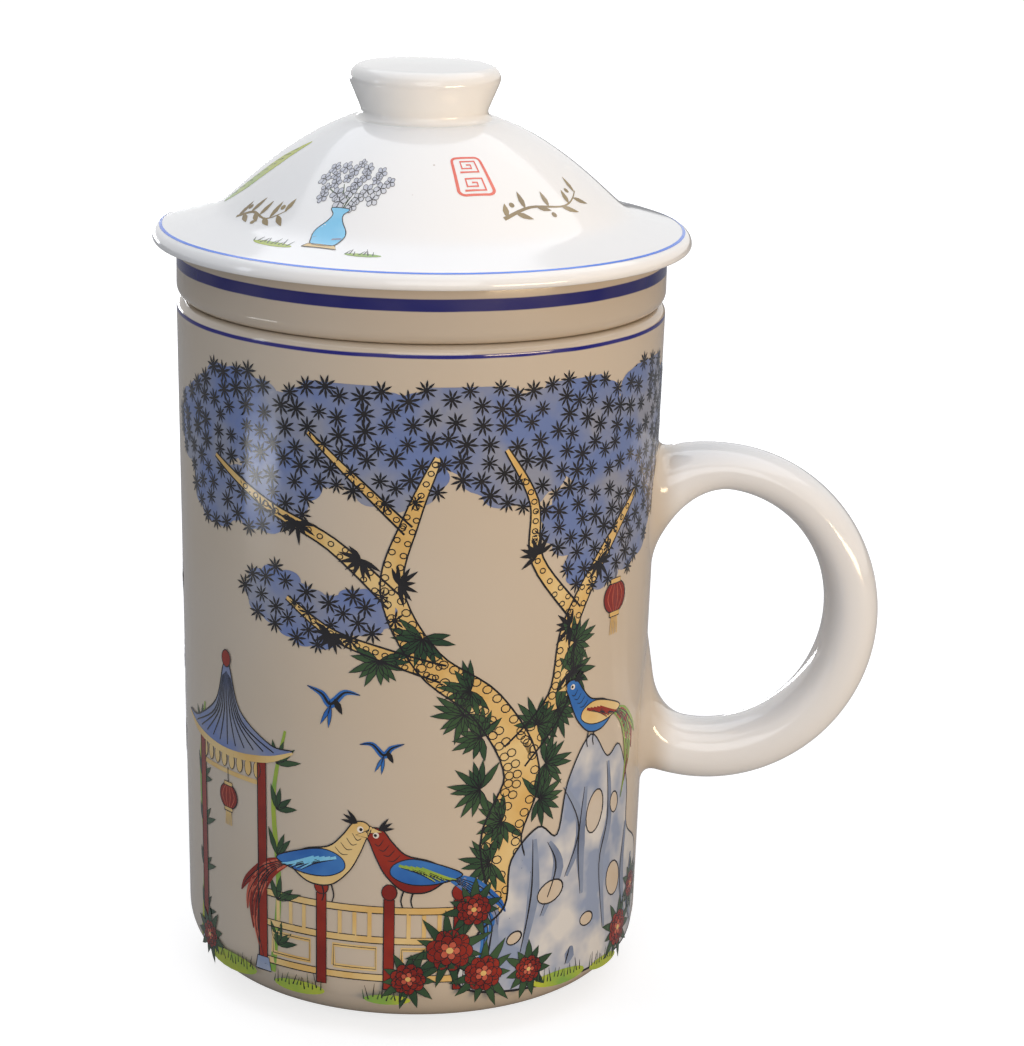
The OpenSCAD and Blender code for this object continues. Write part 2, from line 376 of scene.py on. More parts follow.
def wheel_tree():
    tree, given = new_tree("wheel", Steps="Int", Glaze="Material")
    count = add(tree, "GeometryNodeAttributeDomainSize", {"Geometry": given["Geometry"]},
                component="MESH").outputs["Point Count"]
    columns = calc(tree, "ADD", given["Steps"], 1.0)
    grid = add(tree, "GeometryNodeMeshGrid", {"Vertices X": columns, "Vertices Y": count})
    index = add(tree, "GeometryNodeInputIndex")
    row = calc(tree, "FLOORED_MODULO", index, count)
    column = calc(tree, "DIVIDE", calc(tree, "SUBTRACT", index, row), count)
    angle = calc(tree, "MULTIPLY", calc(tree, "DIVIDE", column, given["Steps"]), 2 * math.pi)
    here = add(tree, "GeometryNodeInputPosition")
    cut = add(tree, "GeometryNodeSampleIndex",
              {"Geometry": given["Geometry"], "Value": here, "Index": row},
              data_type="FLOAT_VECTOR", domain="POINT")
    turned = add(tree, "ShaderNodeVectorRotate", {"Vector": cut, "Angle": angle},
                 rotation_type="Z_AXIS")
    placed = add(tree, "GeometryNodeSetPosition", {"Geometry": grid.outputs["Mesh"], "Position": turned})
    joined = add(tree, "GeometryNodeMergeByDistance", {"Geometry": placed, "Distance": WELD_MM * MM})
    end_tree(tree, joined, given["Glaze"])
    return tree


def line_mesh(name, points):
    """An outline of (radius, height) points in mm as a line of vertices in the XZ plane."""
    mesh = bpy.data.meshes.new(name)
    mesh.from_pydata([(r * MM, 0, z * MM) for r, z in points],
                     [(i, i + 1) for i in range(len(points) - 1)], [])
    return mesh


def face_outwards(piece):
    """Turns the faces of a closed piece round if they point inwards."""
    work = bmesh.new()
    work.from_mesh(piece.data)
    if work.calc_volume(signed=True) < 0:
        bmesh.ops.reverse_faces(work, faces=work.faces)
        work.to_mesh(piece.data)
    volume = abs(work.calc_volume()) / MM ** 3
    work.free()
    return volume


WHEEL = wheel_tree()


def turn(name, outline, glaze_material, steps=192):
    piece = run_tree(name, line_mesh(name, closer(outline)), WHEEL, Steps=steps, Glaze=glaze_material)
    print(f"{name}: {face_outwards(piece) / 1000:.1f} ml of porcelain")
    return piece


# %% [markdown]
# ## The mug
# A straight wall that leans out by about a degree, a wide round belly at its foot, a soft rim, and
# an unglazed foot ring that keeps the glaze off the kiln shelf. One closed outline holds all of it,
# from the recess under the foot, up the outside, over the rim and down the inside.
# A thin cobalt line, brushed on the wheel, runs round just under the rim.

# %% The mug's outline and body
NAVY = "#12157C"
BAND_NAVY = "#000668"
LINE_Z = 116.4           # height of the thin line under the rim
LINE_W = 0.65
LINE_LEAST_R = 39.0      # the line is painted outside this radius, so not inside the mouth
BARE_FOOT = 0.35         # the glaze is wiped off up to this height


def mug_outline():
    edge = FOOT_H / 2
    belly_z = FOOT_H + BELLY
    lean = math.cos(math.radians(LEAN))
    inner_round = BELLY - WALL
    corner_z = FOOT_H + FLOOR + inner_round
    lip_z = RIM_Z - RIM_ROUND
    mouth_z = RIM_Z - SOFT
    return (
        [(0, RECESS), (FOOT_R - FOOT_W - SOFT, RECESS)]
        + arc((FOOT_R - FOOT_W + edge, edge), edge, 180, 270, 6)
        + arc((FOOT_R - edge, edge), edge, -90, 0, 6)
        + [(FOOT_R, FOOT_H)]
        + arc((wall_r(belly_z) - BELLY / lean, belly_z), BELLY, -90, -LEAN, 30)
        + arc((wall_r(lip_z) - RIM_ROUND / lean, lip_z), RIM_ROUND, -LEAN, 90)
        + arc((wall_r(mouth_z) - WALL / lean + SOFT, mouth_z), SOFT, 90, 180, 8)
        + arc((wall_r(corner_z) - WALL / lean - inner_round, corner_z), inner_round, 0, -90, 20)
        + [(0, FOOT_H + FLOOR)]
    )


# The wall is the same white glaze as lid, knob and handle, but its colours are written darker and warmer:
# painted shade and warm bounce light.
WALL_SHADED = "#CDC2B3"
WALL_SHADED_WARM = "#C9B9A2"
mug_glaze = glaze("glazed_porcelain_mug", WALL_SHADED, WALL_SHADED_WARM,
                  [(LINE_Z - LINE_W / 2, LINE_Z + LINE_W / 2, LINE_LEAST_R, NAVY)],
                  bare_below=BARE_FOOT)
mug = turn("mug", mug_outline(), mug_glaze)
hand_over(mug, "mug", "mug_glaze", "mug_body")

# %% [markdown]
# ## The handle
# A loop pulled from one strap of clay and luted to the wall with slip. It is nearly a ring, drawn
# up a little by the hand that bent it. It is oval in section, thickens into both roots, and the
# slip is sponged into a soft fillet, so no edge shows where it meets the wall. It could be a curve
# with a bevel, but the roots need their own thickness, so each of the lines that run along it is
# placed by formula and then bent over onto the wall.

# %% The handle's sizes and section
LOOP_R = 21.0            # inner radius of the loop
HANDLE_T = 8.0           # the strap's thickness
HANDLE_W = 13.0          # and its width
UPPER_ROOT = (82, 134)   # it thickens towards a root between these angles on the loop, in degrees
LOWER_ROOT = (100, 150)
UPPER_FILL = 6.0         # by this much inwards
LOWER_FILL = 7.5
ROOT_RISE = 1.0          # by this much outwards
ROOT_SPREAD = 5.0        # and it widens by this much
ROOT_END = 148           # at this angle every line of the strap is inside the wall
DRAWN_UP = 1.32          # how far the hand-bent loop is drawn up
NARROWED = 0.62          # and how much narrower than high it is
PULLED_IN = 0.63         # and how much smaller on the whole
CROWN_SWELL = 0.5        # extra thickness outside, at top and bottom
FREE_ANGLE = 60.0        # up to here the strap is surely clear of the wall
HALVINGS = 30            # steps in the search for the wall
SLIP = 3.2               # reach of the slip fillet
SLIP_SUNK = 0.03         # its end lies this deep in the wall's face
ROOT_SUNK = 0.5          # and the closed root this deep
SECTION_POWER = 0.86     # below 1 the oval section turns squarer
AROUND = 56              # lines round the section
ALONG = 150              # points along each of them
BEND = 10                # steps across the fillet
HANDLE_X = HANDLE_END - LOOP_R - HANDLE_T
HANDLE_Z = (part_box("mug_handle")[0].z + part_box("mug_handle")[1].z) / 2 / MM


def ease(t):
    t = min(max(t, 0.0), 1.0)
    return t * t * (3 - 2 * t)


def loop_sway(a):
    """What a hand-bent loop adds to its inner radius: it is drawn up, and narrower than it is high."""
    return DRAWN_UP * math.sin(a) - NARROWED * math.cos(2 * a) - PULLED_IN


def handle_point(angle, turn_share):
    """A point of the handle's skin, at an angle on the ring and a share of the way round it."""
    low, high = UPPER_ROOT if angle > 0 else LOWER_ROOT
    grown = ease((abs(angle) - low) / (high - low))
    a = math.radians(angle)
    inner = LOOP_R + loop_sway(a) - (UPPER_FILL if angle > 0 else LOWER_FILL) * grown
    outer = LOOP_R + HANDLE_T + CROWN_SWELL * math.sin(a) ** 2 + ROOT_RISE * grown
    t = 2 * math.pi * turn_share
    across = math.copysign(abs(math.cos(t)) ** SECTION_POWER, math.cos(t))
    along = math.copysign(abs(math.sin(t)) ** SECTION_POWER, math.sin(t))
    r = inner + (outer - inner) / 2 * (1 + across)
    half_w = (HANDLE_W + ROOT_SPREAD * grown) / 2
    return Vector((HANDLE_X + r * math.cos(a), half_w * along, HANDLE_Z + r * math.sin(a)))


print(f"loop {2 * LOOP_R:.0f} mm inside, strap {HANDLE_T:.0f} by {HANDLE_W:.0f} mm")

# %% Where the handle meets the wall


def above_wall(point):
    return math.hypot(point.x, point.y) - wall_r(point.z)


def wall_angle(turn_share, side):
    """The angle on the ring at which one line of the handle reaches the wall."""
    free, sunk = FREE_ANGLE * side, ROOT_END * side
    for _ in range(HALVINGS):
        middle = (free + sunk) / 2
        if above_wall(handle_point(middle, turn_share)) > 0:
            free = middle
        else:
            sunk = middle
    return free


def root_lines(side):
    """For each line along the handle: the angle where the slip begins, and the points of its bend."""
    ends = [wall_angle(j / AROUND, side) for j in range(AROUND)]
    feet = [handle_point(a, j / AROUND) for j, a in enumerate(ends)]
    middle = sum(feet, Vector()) / AROUND
    lines = []
    for j, (angle, foot) in enumerate(zip(ends, feet)):
        reach = math.hypot(foot.x - HANDLE_X, foot.z - HANDLE_Z)
        start_angle = angle - side * math.degrees(SLIP / reach)
        start = handle_point(start_angle, j / AROUND)
        outwards = Vector((foot.x, foot.y, 0)).normalized()
        away = foot - middle
        away = (away - outwards * away.dot(outwards)).normalized()
        end = foot + away * SLIP
        level = Vector((end.x, end.y, 0)).normalized()
        end = level * (wall_r(end.z) - SLIP_SUNK) + Vector((0, 0, end.z))
        bend = []
        for i in range(1, BEND + 1):
            t = i / BEND
            bend.append(start * (1 - t) ** 2 + foot * 2 * t * (1 - t) + end * t ** 2)
        bend.append(end - outwards * ROOT_SUNK)
        lines.append((start_angle, bend))
    return lines


# %% The handle


def build_handle(glaze_material):
    upper, lower = root_lines(1), root_lines(-1)
    rows = []
    for j in range(AROUND):
        top, bottom = upper[j], lower[j]
        free = [handle_point(top[0] + (bottom[0] - top[0]) * i / ALONG, j / AROUND)
                for i in range(ALONG + 1)]
        rows.append(list(reversed(top[1])) + free + bottom[1])
    length = len(rows[0])
    points = [tuple(p * MM) for row in rows for p in row]
    faces = [(j * length + i, j * length + i + 1,
              (j + 1) % AROUND * length + i + 1, (j + 1) % AROUND * length + i)
             for j in range(AROUND) for i in range(length - 1)]
    faces.append([j * length for j in range(AROUND)])
    faces.append([j * length + length - 1 for j in reversed(range(AROUND))])
    mesh = bpy.data.meshes.new("handle")
    mesh.from_pydata(points, [], faces)
    mesh.shade_smooth()
    mesh.materials.append(glaze_material)
    piece = new_object("handle", mesh)
    print(f"handle: {face_outwards(piece) / 1000:.1f} ml of porcelain")
    return piece


# Near its roots the handle takes on the wall's colours, painted shade included.
ROOT_FADE = (41.0, 45.5)         # the wall's colour fades out between these radii
handle_glaze = glaze("glazed_porcelain_handle", "#EDEEEF", "#E9E8E6", root=(WALL_SHADED, *ROOT_FADE))
handle = build_handle(handle_glaze)
hand_over(handle, "mug", "handle_glaze", "mug_handle")

# %% [markdown]
# ## The infuser
# A cup of porcelain that hangs in the mug from its collar. The collar is flush with the wall and
# carries a broad cobalt band; a short spigot under it centres the cup in the mouth. Tea runs
# through rings of holes in the base and two staggered rows round the lower wall. The potter pierces
# them with a hollow punch, and the glaze softens both ends of every hole.
# The holes repeat, so a geometry tree sets out the rings and cuts one flared punch at each point.

# %% The infuser's outline
COLLAR_ROUND = 2.4       # rounding of the collar where it meets the mug's rim
SPIGOT_H = 6.0
SPIGOT_GAP = 0.5         # play in the mouth
CUP_R = 35.4
CUP_TAPER = 2.0          # how much narrower the cup is at its base
CUP_WALL = 2.8
CUP_FLOOR = 3.0
CUP_ROUND = 5.0
HOLE_D = 2.6
HOLE_PITCH = 6.4
HOLE_FLARE = 0.45        # how far the glaze opens each end of a hole
BASE_RINGS = 4
WALL_HOLES = 16
HOLE_ROWS = 2            # in the wall, staggered
PUNCH_STEPS = 24
PUNCH_SPARE = 1.0        # how far a punch reaches past both faces of the wall
PUNCH_LIP = 0.02         # and how far its full width does
SHARP_ANGLE = 35         # degrees; sharper edges aren't shaded smooth
BAND_Z = (123.6, 125.6)
BAND_LEAST_R = 39.5


def cup_side_r(z):
    return CUP_R - CUP_TAPER + CUP_TAPER * (z - CUP_Z) / (RIM_Z - SPIGOT_H - CUP_Z)


def infuser_outline():
    spigot_z = RIM_Z - SPIGOT_H
    spigot_r = wall_r(spigot_z) - WALL - SPIGOT_GAP
    corner = CUP_Z + CUP_ROUND
    inner_round = CUP_ROUND - CUP_WALL
    inner_corner = CUP_Z + CUP_FLOOR + inner_round
    mouth_r = CUP_R - CUP_WALL
    return (
        [(0, CUP_Z)]
        + arc((cup_side_r(corner) - CUP_ROUND, corner), CUP_ROUND, -90, 0)
        + [(CUP_R, spigot_z), (spigot_r - SOFT, spigot_z), (spigot_r, spigot_z + SOFT),
           (spigot_r, RIM_Z)]
        + arc((RIM_R - COLLAR_ROUND, RIM_Z + COLLAR_ROUND), COLLAR_ROUND, -90, 0)
        + arc((RIM_R - SOFT, COLLAR_TOP - SOFT), SOFT, 0, 90, 8)
        + arc((mouth_r + SOFT, COLLAR_TOP - SOFT), SOFT, 90, 180, 8)
        + [(mouth_r, spigot_z)]
        + arc((cup_side_r(inner_corner) - CUP_WALL - inner_round, inner_corner), inner_round, 0, -90, 8)
        + [(0, CUP_Z + CUP_FLOOR)]
    )


def punch(name, thick, glaze_material):
    """A punch that flares where it leaves both faces of a wall of the given thickness."""
    half, r, flare = thick / 2, HOLE_D / 2, HOLE_FLARE
    out = -half - PUNCH_SPARE
    side = [(0, out), (r + flare, out), (r + flare, -half - PUNCH_LIP)]
    side += [(r + flare * (1 - math.sin(t)), -half + flare * (1 - math.cos(t)))
             for t in (0.5, 1.0, math.pi / 2)]
    side += [(x, -z) for x, z in reversed(side)]
    piece = run_tree(name, line_mesh(name, side), WHEEL, Steps=PUNCH_STEPS, Glaze=glaze_material)
    face_outwards(piece)
    return piece


# %% The punch pattern as a geometry tree


def pierce_tree():
    tree, given = new_tree(
        "pierce", Base_punch="Object", Wall_punch="Object", Pitch="Float", Base_height="Float",
        Wall_radius="Float", Wall_height="Float", Wall_holes="Int", Glaze="Material")
    marks = [add(tree, "GeometryNodeMeshLine", {"Count": 1}, mode="OFFSET")]
    for ring in range(1, BASE_RINGS + 1):
        radius = calc(tree, "MULTIPLY", given["Pitch"], float(ring))
        marks.append(add(tree, "GeometryNodeMeshCircle", {"Vertices": 6 * ring, "Radius": radius}))
    rings = add(tree, "GeometryNodeJoinGeometry")
    for mark in marks:
        feed(tree, rings, {0: mark})
    up = add(tree, "ShaderNodeCombineXYZ", {"Z": given["Base_height"]})
    raised = add(tree, "GeometryNodeSetPosition", {"Geometry": rings, "Offset": up})
    base_tool = add(tree, "GeometryNodeObjectInfo", {"Object": given["Base_punch"]})
    base_holes = add(tree, "GeometryNodeInstanceOnPoints",
                     {"Points": raised, "Instance": base_tool.outputs["Geometry"]})
    tools = [base_holes]
    wall_tool = add(tree, "GeometryNodeObjectInfo", {"Object": given["Wall_punch"]})
    for row in range(1, HOLE_ROWS + 1):
        loop = add(tree, "GeometryNodeMeshCircle",
                   {"Vertices": given["Wall_holes"], "Radius": given["Wall_radius"]})
        climb = calc(tree, "MULTIPLY_ADD", given["Pitch"], float(row), given["Wall_height"])
        lift = add(tree, "ShaderNodeCombineXYZ", {"Z": climb})
        shift = add(tree, "GeometryNodeTransform", {
            "Geometry": loop, "Translation": lift, "Rotation": (0, 0, math.pi * row / WALL_HOLES)})
        here = add(tree, "GeometryNodeInputPosition")
        level = add(tree, "ShaderNodeVectorMath", {0: here, 1: (1, 1, 0)}, operation="MULTIPLY")
        facing = add(tree, "FunctionNodeAlignRotationToVector", {"Vector": level}, axis="Z")
        tools.append(add(tree, "GeometryNodeInstanceOnPoints", {
            "Points": shift, "Instance": wall_tool.outputs["Geometry"], "Rotation": facing}))
    cutters = add(tree, "GeometryNodeJoinGeometry")
    for tool in tools:
        feed(tree, cutters, {0: tool})
    solid = add(tree, "GeometryNodeRealizeInstances", {"Geometry": cutters})
    cut = add(tree, "GeometryNodeMeshBoolean", {"Mesh 1": given["Geometry"], "Mesh 2": solid},
              operation="DIFFERENCE", solver="MANIFOLD")
    corner = add(tree, "GeometryNodeInputMeshEdgeAngle").outputs["Unsigned Angle"]
    soft = calc(tree, "LESS_THAN", corner, math.radians(SHARP_ANGLE))
    edged = add(tree, "GeometryNodeSetShadeSmooth",
                {"Geometry": cut.outputs["Mesh"], "Shade Smooth": soft}, domain="EDGE")
    end_tree(tree, edged, given["Glaze"])
    return tree


# The infuser is the same white glaze, written darker than the wall: painted shade under the lid's brim.
infuser_glaze = glaze("glazed_porcelain_infuser", "#C8BDAE", "#C2B29C",
                      [(*BAND_Z, BAND_LEAST_R, BAND_NAVY)])
blank = turn("infuser_blank", infuser_outline(), infuser_glaze)
base_punch = punch("base_punch", CUP_FLOOR, infuser_glaze)
wall_punch = punch("wall_punch", CUP_WALL, infuser_glaze)
infuser = run_tree(
    "infuser_cup", blank.data, pierce_tree(), Base_punch=base_punch, Wall_punch=wall_punch,
    Pitch=HOLE_PITCH * MM, Base_height=(CUP_Z + CUP_FLOOR / 2) * MM,
    Wall_radius=(cup_side_r(CUP_Z + CUP_ROUND + 1.5 * HOLE_PITCH) - CUP_WALL / 2) * MM,
    Wall_height=(CUP_Z + CUP_ROUND) * MM, Wall_holes=WALL_HOLES, Glaze=infuser_glaze)
for tool in (blank, base_punch, wall_punch):
    bpy.data.objects.remove(tool)
hand_over(infuser, "infuser", "infuser_glaze", "infuser")
in_base = 1 + sum(6 * ring for ring in range(1, BASE_RINGS + 1))
print(f"{in_base} holes in the base and {HOLE_ROWS * WALL_HOLES} in the wall")

# %% [markdown]
# ## The lid and its knob
# The lid is a dome with a flat crown and a side that swells and steepens until a soft crease turns
# it into a shallow brim. The brim is wider than the collar, its edge is rounded above and hangs a
# little below, and a blue line runs near it. A flange underneath drops into the collar. The knob is
# made on its own and luted to the crown; its side flares from a narrow neck to a soft edge and a
# nearly flat top.

# %% The lid's outline
CROWN_R = 12.0           # the crown is flat up to here
CROWN_SOFT = 0.8
SIDE_TILT = 0.38         # how steeply the side sets off from the crown
SIDE_SWELL = 0.0149      # and how much steeper it grows outwards, per mm
CREASE_R = 34.0          # the brim, carried on, passes this radius at the next height
CREASE_Z = 132.9
CREASE_SOFT = 0.6        # rounding between side and brim
BRIM_SLOPE = 16.0        # degrees
BRIM_ROUND = 2.0
DRIP_ROUND = 0.7         # under the edge, which hangs a little over the collar
DRIP_R = 42.3            # the drip edge ends here
SEAT_R = 41.6            # and the seat on the collar begins here
LID_WALL = 4.4
FLANGE_H = 6.0
FLANGE_T = 3.2
FLANGE_GAP = 0.6
NECK_R = 10.6
NECK_FILLET = 1.3
LID_LINE_R = (43.35, 43.85)      # the blue line lies between these radii
LID_STEP = 0.5           # distance of the outline's points on the outside
LID_UNDER_STEPS = 30     # and their number underneath
FALL = math.tan(math.radians(BRIM_SLOPE))


def dome_at(r):
    """Height of the lid's outside at a radius: the higher of side and brim, softened at the crease."""
    out = max(r - CROWN_R, 0)
    side = DOME_Z - SIDE_TILT * (math.hypot(out, CROWN_SOFT) - CROWN_SOFT) - SIDE_SWELL * out ** 2
    brim = CREASE_Z - FALL * (r - CREASE_R)
    return (side + brim) / 2 + math.hypot((side - brim) / 2, CREASE_SOFT)


def lid_outline():
    edge_r = BRIM_R - BRIM_ROUND
    edge_z = dome_at(edge_r) - BRIM_ROUND / math.cos(math.radians(BRIM_SLOPE))
    flange_r = CUP_R - CUP_WALL - FLANGE_GAP
    inner = flange_r - FLANGE_T
    low = COLLAR_TOP - FLANGE_H + SOFT
    over = [i * LID_STEP for i in range(int(edge_r / LID_STEP))]
    under = [inner * (1 - i / LID_UNDER_STEPS) for i in range(LID_UNDER_STEPS + 1)]
    return (
        [(r, dome_at(r)) for r in over]
        + arc((edge_r, edge_z), BRIM_ROUND, 90 - BRIM_SLOPE, 0, 16)
        + arc((BRIM_R - DRIP_ROUND, edge_z), DRIP_ROUND, -8, -90, 10)
        + [(DRIP_R, edge_z - DRIP_ROUND), (SEAT_R, COLLAR_TOP), (flange_r, COLLAR_TOP)]
        + arc((flange_r - SOFT, low), SOFT, 0, -90, 6)
        + arc((inner + SOFT, low), SOFT, -90, -180, 6)
        + [(r, dome_at(r + LID_WALL / 2) - LID_WALL) for r in under]
    )


lid_glaze = glaze("glazed_porcelain_lid", "#F6F6F5", "#F3F2EF")
lid = turn("lid_dome", lid_outline(), lid_glaze)
hand_over(lid, "lid", "lid_glaze", "lid")

# %% The knob's outline
GRIP_R = 12.6
GRIP_ROUND = 2.1
CROWN_H = 0.5
CROWN_STEPS = 10
KNOB_SUNK = 0.3          # the knob is luted this deep into the lid
KNOB_FOOT = 0.4          # and its neck ends this much wider there
KNOB_STEPS = 128


def knob_outline():
    """Waist, flaring side and crown. The side touches the fillet below and the round above."""
    neck = Vector((NECK_R + NECK_FILLET, DOME_Z + NECK_FILLET))
    grip = Vector((GRIP_R - GRIP_ROUND, KNOB_TOP - CROWN_H - GRIP_ROUND))
    span = grip - neck
    lean = math.asin((NECK_FILLET + GRIP_ROUND) / span.length)
    flare = math.degrees(math.atan2(span.y, span.x) - lean)
    inwards = [1 - i / CROWN_STEPS for i in range(1, CROWN_STEPS + 1)]
    crown = [(grip.x * share, grip.y + GRIP_ROUND + CROWN_H * (1 - share ** 2)) for share in inwards]
    return (
        [(0, DOME_Z - KNOB_SUNK), (neck.x + KNOB_FOOT, DOME_Z - KNOB_SUNK)]
        + arc(neck, NECK_FILLET, -90, flare - 270, 14)
        + arc(grip, GRIP_ROUND, flare - 90, 90, 20)
        + crown
    )


knob_glaze = glaze("glazed_porcelain_knob", "#F4F2EE", "#EFECE6")
knob = turn("knob", knob_outline(), knob_glaze, steps=KNOB_STEPS)
hand_over(knob, "lid", "knob_glaze", "lid_knob")

# %% [markdown]
# ## The picture
# Mugs like this are decorated with a ceramic transfer: flat fired colours with fine dark outlines,
# printed on film, slid onto the glazed wall and fired until they sink into the gloss. It could be
# an image, but a part that has to hold up close keeps it as shapes. Every mark is drawn flat in
# millimetres, as a filled outline on a layer: u runs round the mug from the front towards the
# handle, and v is the height. Later the sheet of marks is wrapped round the wall as the film is.

# %% Paints
INK = "ink"
PAINTS = {                                  # a colour, and the one it drifts towards
    "ink": ("#161518", "#242226"), "slate": ("#8D92A4", "#6B7EB0"), "ochre": ("#D9B26A", "#E2C68A"),
    "brick": ("#7C1C10", "#962C18"), "rose": ("#B8543F", "#CC6A52"), "cobalt": ("#2560AE", "#3C78BE"),
    "lime": ("#B2BC3A", "#7DA648"), "leaf": ("#24402A", "#3A5634"), "rock": ("#D5D4D2", "#8E9CB8"),
    "rock_shade": ("#6F7C97", "#8C99B2"), "white": ("#F0E9DE", "#E8DFD2"), "sky": ("#74C6EC", "#8ED3F2"),
    "seal": ("#E05A44", "#E66E58"), "gold": ("#85724C", "#9A8860"), "mist": ("#D3D5DA", "#BCC0CC"),
    # holes that show the wall, in its painted-shade colours
    "bare": (WALL_SHADED, WALL_SHADED_WARM),
}
CLOUD_MM = 9.0           # size of the drift between the two
PAINT_STEP = 0.01        # height of one layer of paint, in mm
HAIR = 0.002             # marks on one layer take turns at heights this far apart,
TURNS = 5                # so that crossing ones don't share a plane
print(f"{len(PAINTS)} fired colours")

# %% Brushes


def curve(points, closed=False, steps=6):
    """A smooth line through given points (Catmull-Rom)."""
    n = len(points)
    out = []
    for i in range(n if closed else n - 1):
        if closed:
            a, b, c, d = (points[(i + k) % n] for k in (-1, 0, 1, 2))
        else:
            a, b, c, d = (points[min(max(i + k, 0), n - 1)] for k in (-1, 0, 1, 2))
        for s in range(steps):
            t = s / steps
            out.append(tuple(
                0.5 * (2 * b[k] + (c[k] - a[k]) * t + (2 * a[k] - 5 * b[k] + 4 * c[k] - d[k]) * t ** 2
                       + (3 * b[k] - a[k] - 3 * c[k] + d[k]) * t ** 3) for k in (0, 1)))
    return out if closed else out + [tuple(points[-1])]


def fill(sheet, paint, layer, points):
    sheet.setdefault(paint, []).append((layer, list(points)))


def stroke(sheet, paint, layer, points, widths, closed=False, smooth=True):
    """A brush line through the points. Its width runs evenly through the given widths."""
    line = curve(points, closed) if smooth else list(points)
    if closed:
        line.append(line[0])
    count = len(line) - 1
    left, right = [], []
    for i, (u, v) in enumerate(line):
        before, after = line[max(i - 1, 0)], line[min(i + 1, count)]
        du, dv = after[0] - before[0], after[1] - before[1]
        size = math.hypot(du, dv) or 1.0
        place = i / count * (len(widths) - 1)
        k = min(int(place), len(widths) - 2)
        half = (widths[k] + (widths[k + 1] - widths[k]) * (place - k)) / 2
        left.append((u - dv / size * half, v + du / size * half))
        right.append((u + dv / size * half, v - du / size * half))
    for i in range(count):
        fill(sheet, paint, layer, [right[i], right[i + 1], left[i + 1], left[i]])
    return left, right


def shape(sheet, paint, layer, points, ink=0.32, smooth=True):
    """A filled form with its dark outline."""
    outline = curve(points, closed=True) if smooth else list(points)
    fill(sheet, paint, layer, outline)
    if ink:
        stroke(sheet, INK, layer + 1, outline, [ink, ink * 0.6, ink], closed=True, smooth=False)


def block(left, low, right, high):
    """The corners of an upright rectangle."""
    return [(left, low), (right, low), (right, high), (left, high)]


def moved(points, place, size, facing=1):
    """Points drawn about (0, 0), at a place and a size. Facing is 1 to the right, -1 to the left."""
    return [(place[0] + facing * size * u, place[1] + size * v) for u, v in points]


def oval(centre, ru, rv, tilt=0.0, steps=18):
    c, s = math.cos(math.radians(tilt)), math.sin(math.radians(tilt))
    out = []
    for i in range(steps):
        t = 2 * math.pi * i / steps
        a, b = ru * math.cos(t), rv * math.sin(t)
        out.append((centre[0] + a * c - b * s, centre[1] + a * s + b * c))
    return out


# %% Leaves, pads and flowers


def leaf(sheet, paint, layer, base, angle, length, width, ink=0.0):
    """A lance-shaped leaf from its base, along an angle in degrees."""
    c, s = math.cos(math.radians(angle)), math.sin(math.radians(angle))
    half = [(0, 0), (0.2, 0.34), (0.45, 0.5), (0.75, 0.3), (1, 0)]
    outline = half + [(a, -b) for a, b in reversed(half[1:-1])]
    points = [(base[0] + a * length * c - b * width * s, base[1] + a * length * s + b * width * c)
              for a, b in outline]
    shape(sheet, paint, layer, points, ink, smooth=False)


def spray(sheet, paint, layer, base, facing, spread, count, length, width, rng, ink=0.0):
    """A fan of leaves."""
    for i in range(count):
        angle = facing - spread / 2 + spread * i / max(count - 1, 1) + rng.uniform(-7, 7)
        leaf(sheet, paint, layer, base, angle, length * rng.uniform(0.75, 1.1), width, ink)


def cloud(centre, ru, rv, lobes, turn_by, top=math.inf):
    """A pad of foliage with a scalloped edge, cut off straight at the top of the picture."""
    out = []
    for i in range(lobes * 7):
        t = 2 * math.pi * i / (lobes * 7)
        r = 0.86 + 0.15 * abs(math.sin(lobes * t / 2 + turn_by)) ** 0.7
        out.append((centre[0] + ru * r * math.cos(t), min(centre[1] + rv * r * math.sin(t), top)))
    return out


def flower(sheet, layer, centre, size, rng):
    """A peony: three rings of notched petals, darkest outside."""
    for ring, (paint, share, petals) in enumerate(
            (("brick", 1.0, 9), ("brick", 0.72, 7), ("rose", 0.45, 5))):
        for i in range(petals):
            angle = 360 * i / petals + rng.uniform(-8, 8)
            a = math.radians(angle)
            reach = size * share * 0.58
            middle = (centre[0] + reach * math.cos(a), centre[1] + reach * math.sin(a) * 0.86)
            petal = oval(middle, size * share * 0.44, size * share * 0.36, angle, 12)
            shape(sheet, paint, layer + 2 * ring, petal, 0.14, smooth=False)
    fill(sheet, "ochre", layer + 7, oval(centre, size * 0.16, size * 0.14, 0, 10))


def blossom(sheet, paint, layer, centre, size, rng):
    """A small five-petalled flower with a dark heart."""
    first = rng.uniform(0, 72)
    for i in range(5):
        a = math.radians(first + 72 * i)
        middle = (centre[0] + size * 0.55 * math.cos(a), centre[1] + size * 0.55 * math.sin(a))
        petal = oval(middle, size * 0.46, size * 0.36, first + 72 * i, 10)
        shape(sheet, paint, layer, petal, 0.12, smooth=False)
    for i in range(5):
        a = math.radians(first + 36 + 72 * i)
        tip = (centre[0] + size * 0.5 * math.cos(a), centre[1] + size * 0.5 * math.sin(a))
        stroke(sheet, INK, layer + 2, [centre, tip], [0.22, 0.08], smooth=False)


# %% [markdown]
# ### What is drawn
# A garden in the old taste: one leaning tree with a canopy of slate-blue pads, a pierced rock,
# peonies, and a small pavilion from which a lattice fence runs to the tree, with long-tailed birds
# on its rail. The tree is the largest form and is drawn as the eye reads it: ochre wood, dark
# edges, and rows of bark cells that follow its width.

# %% Limbs with their bark


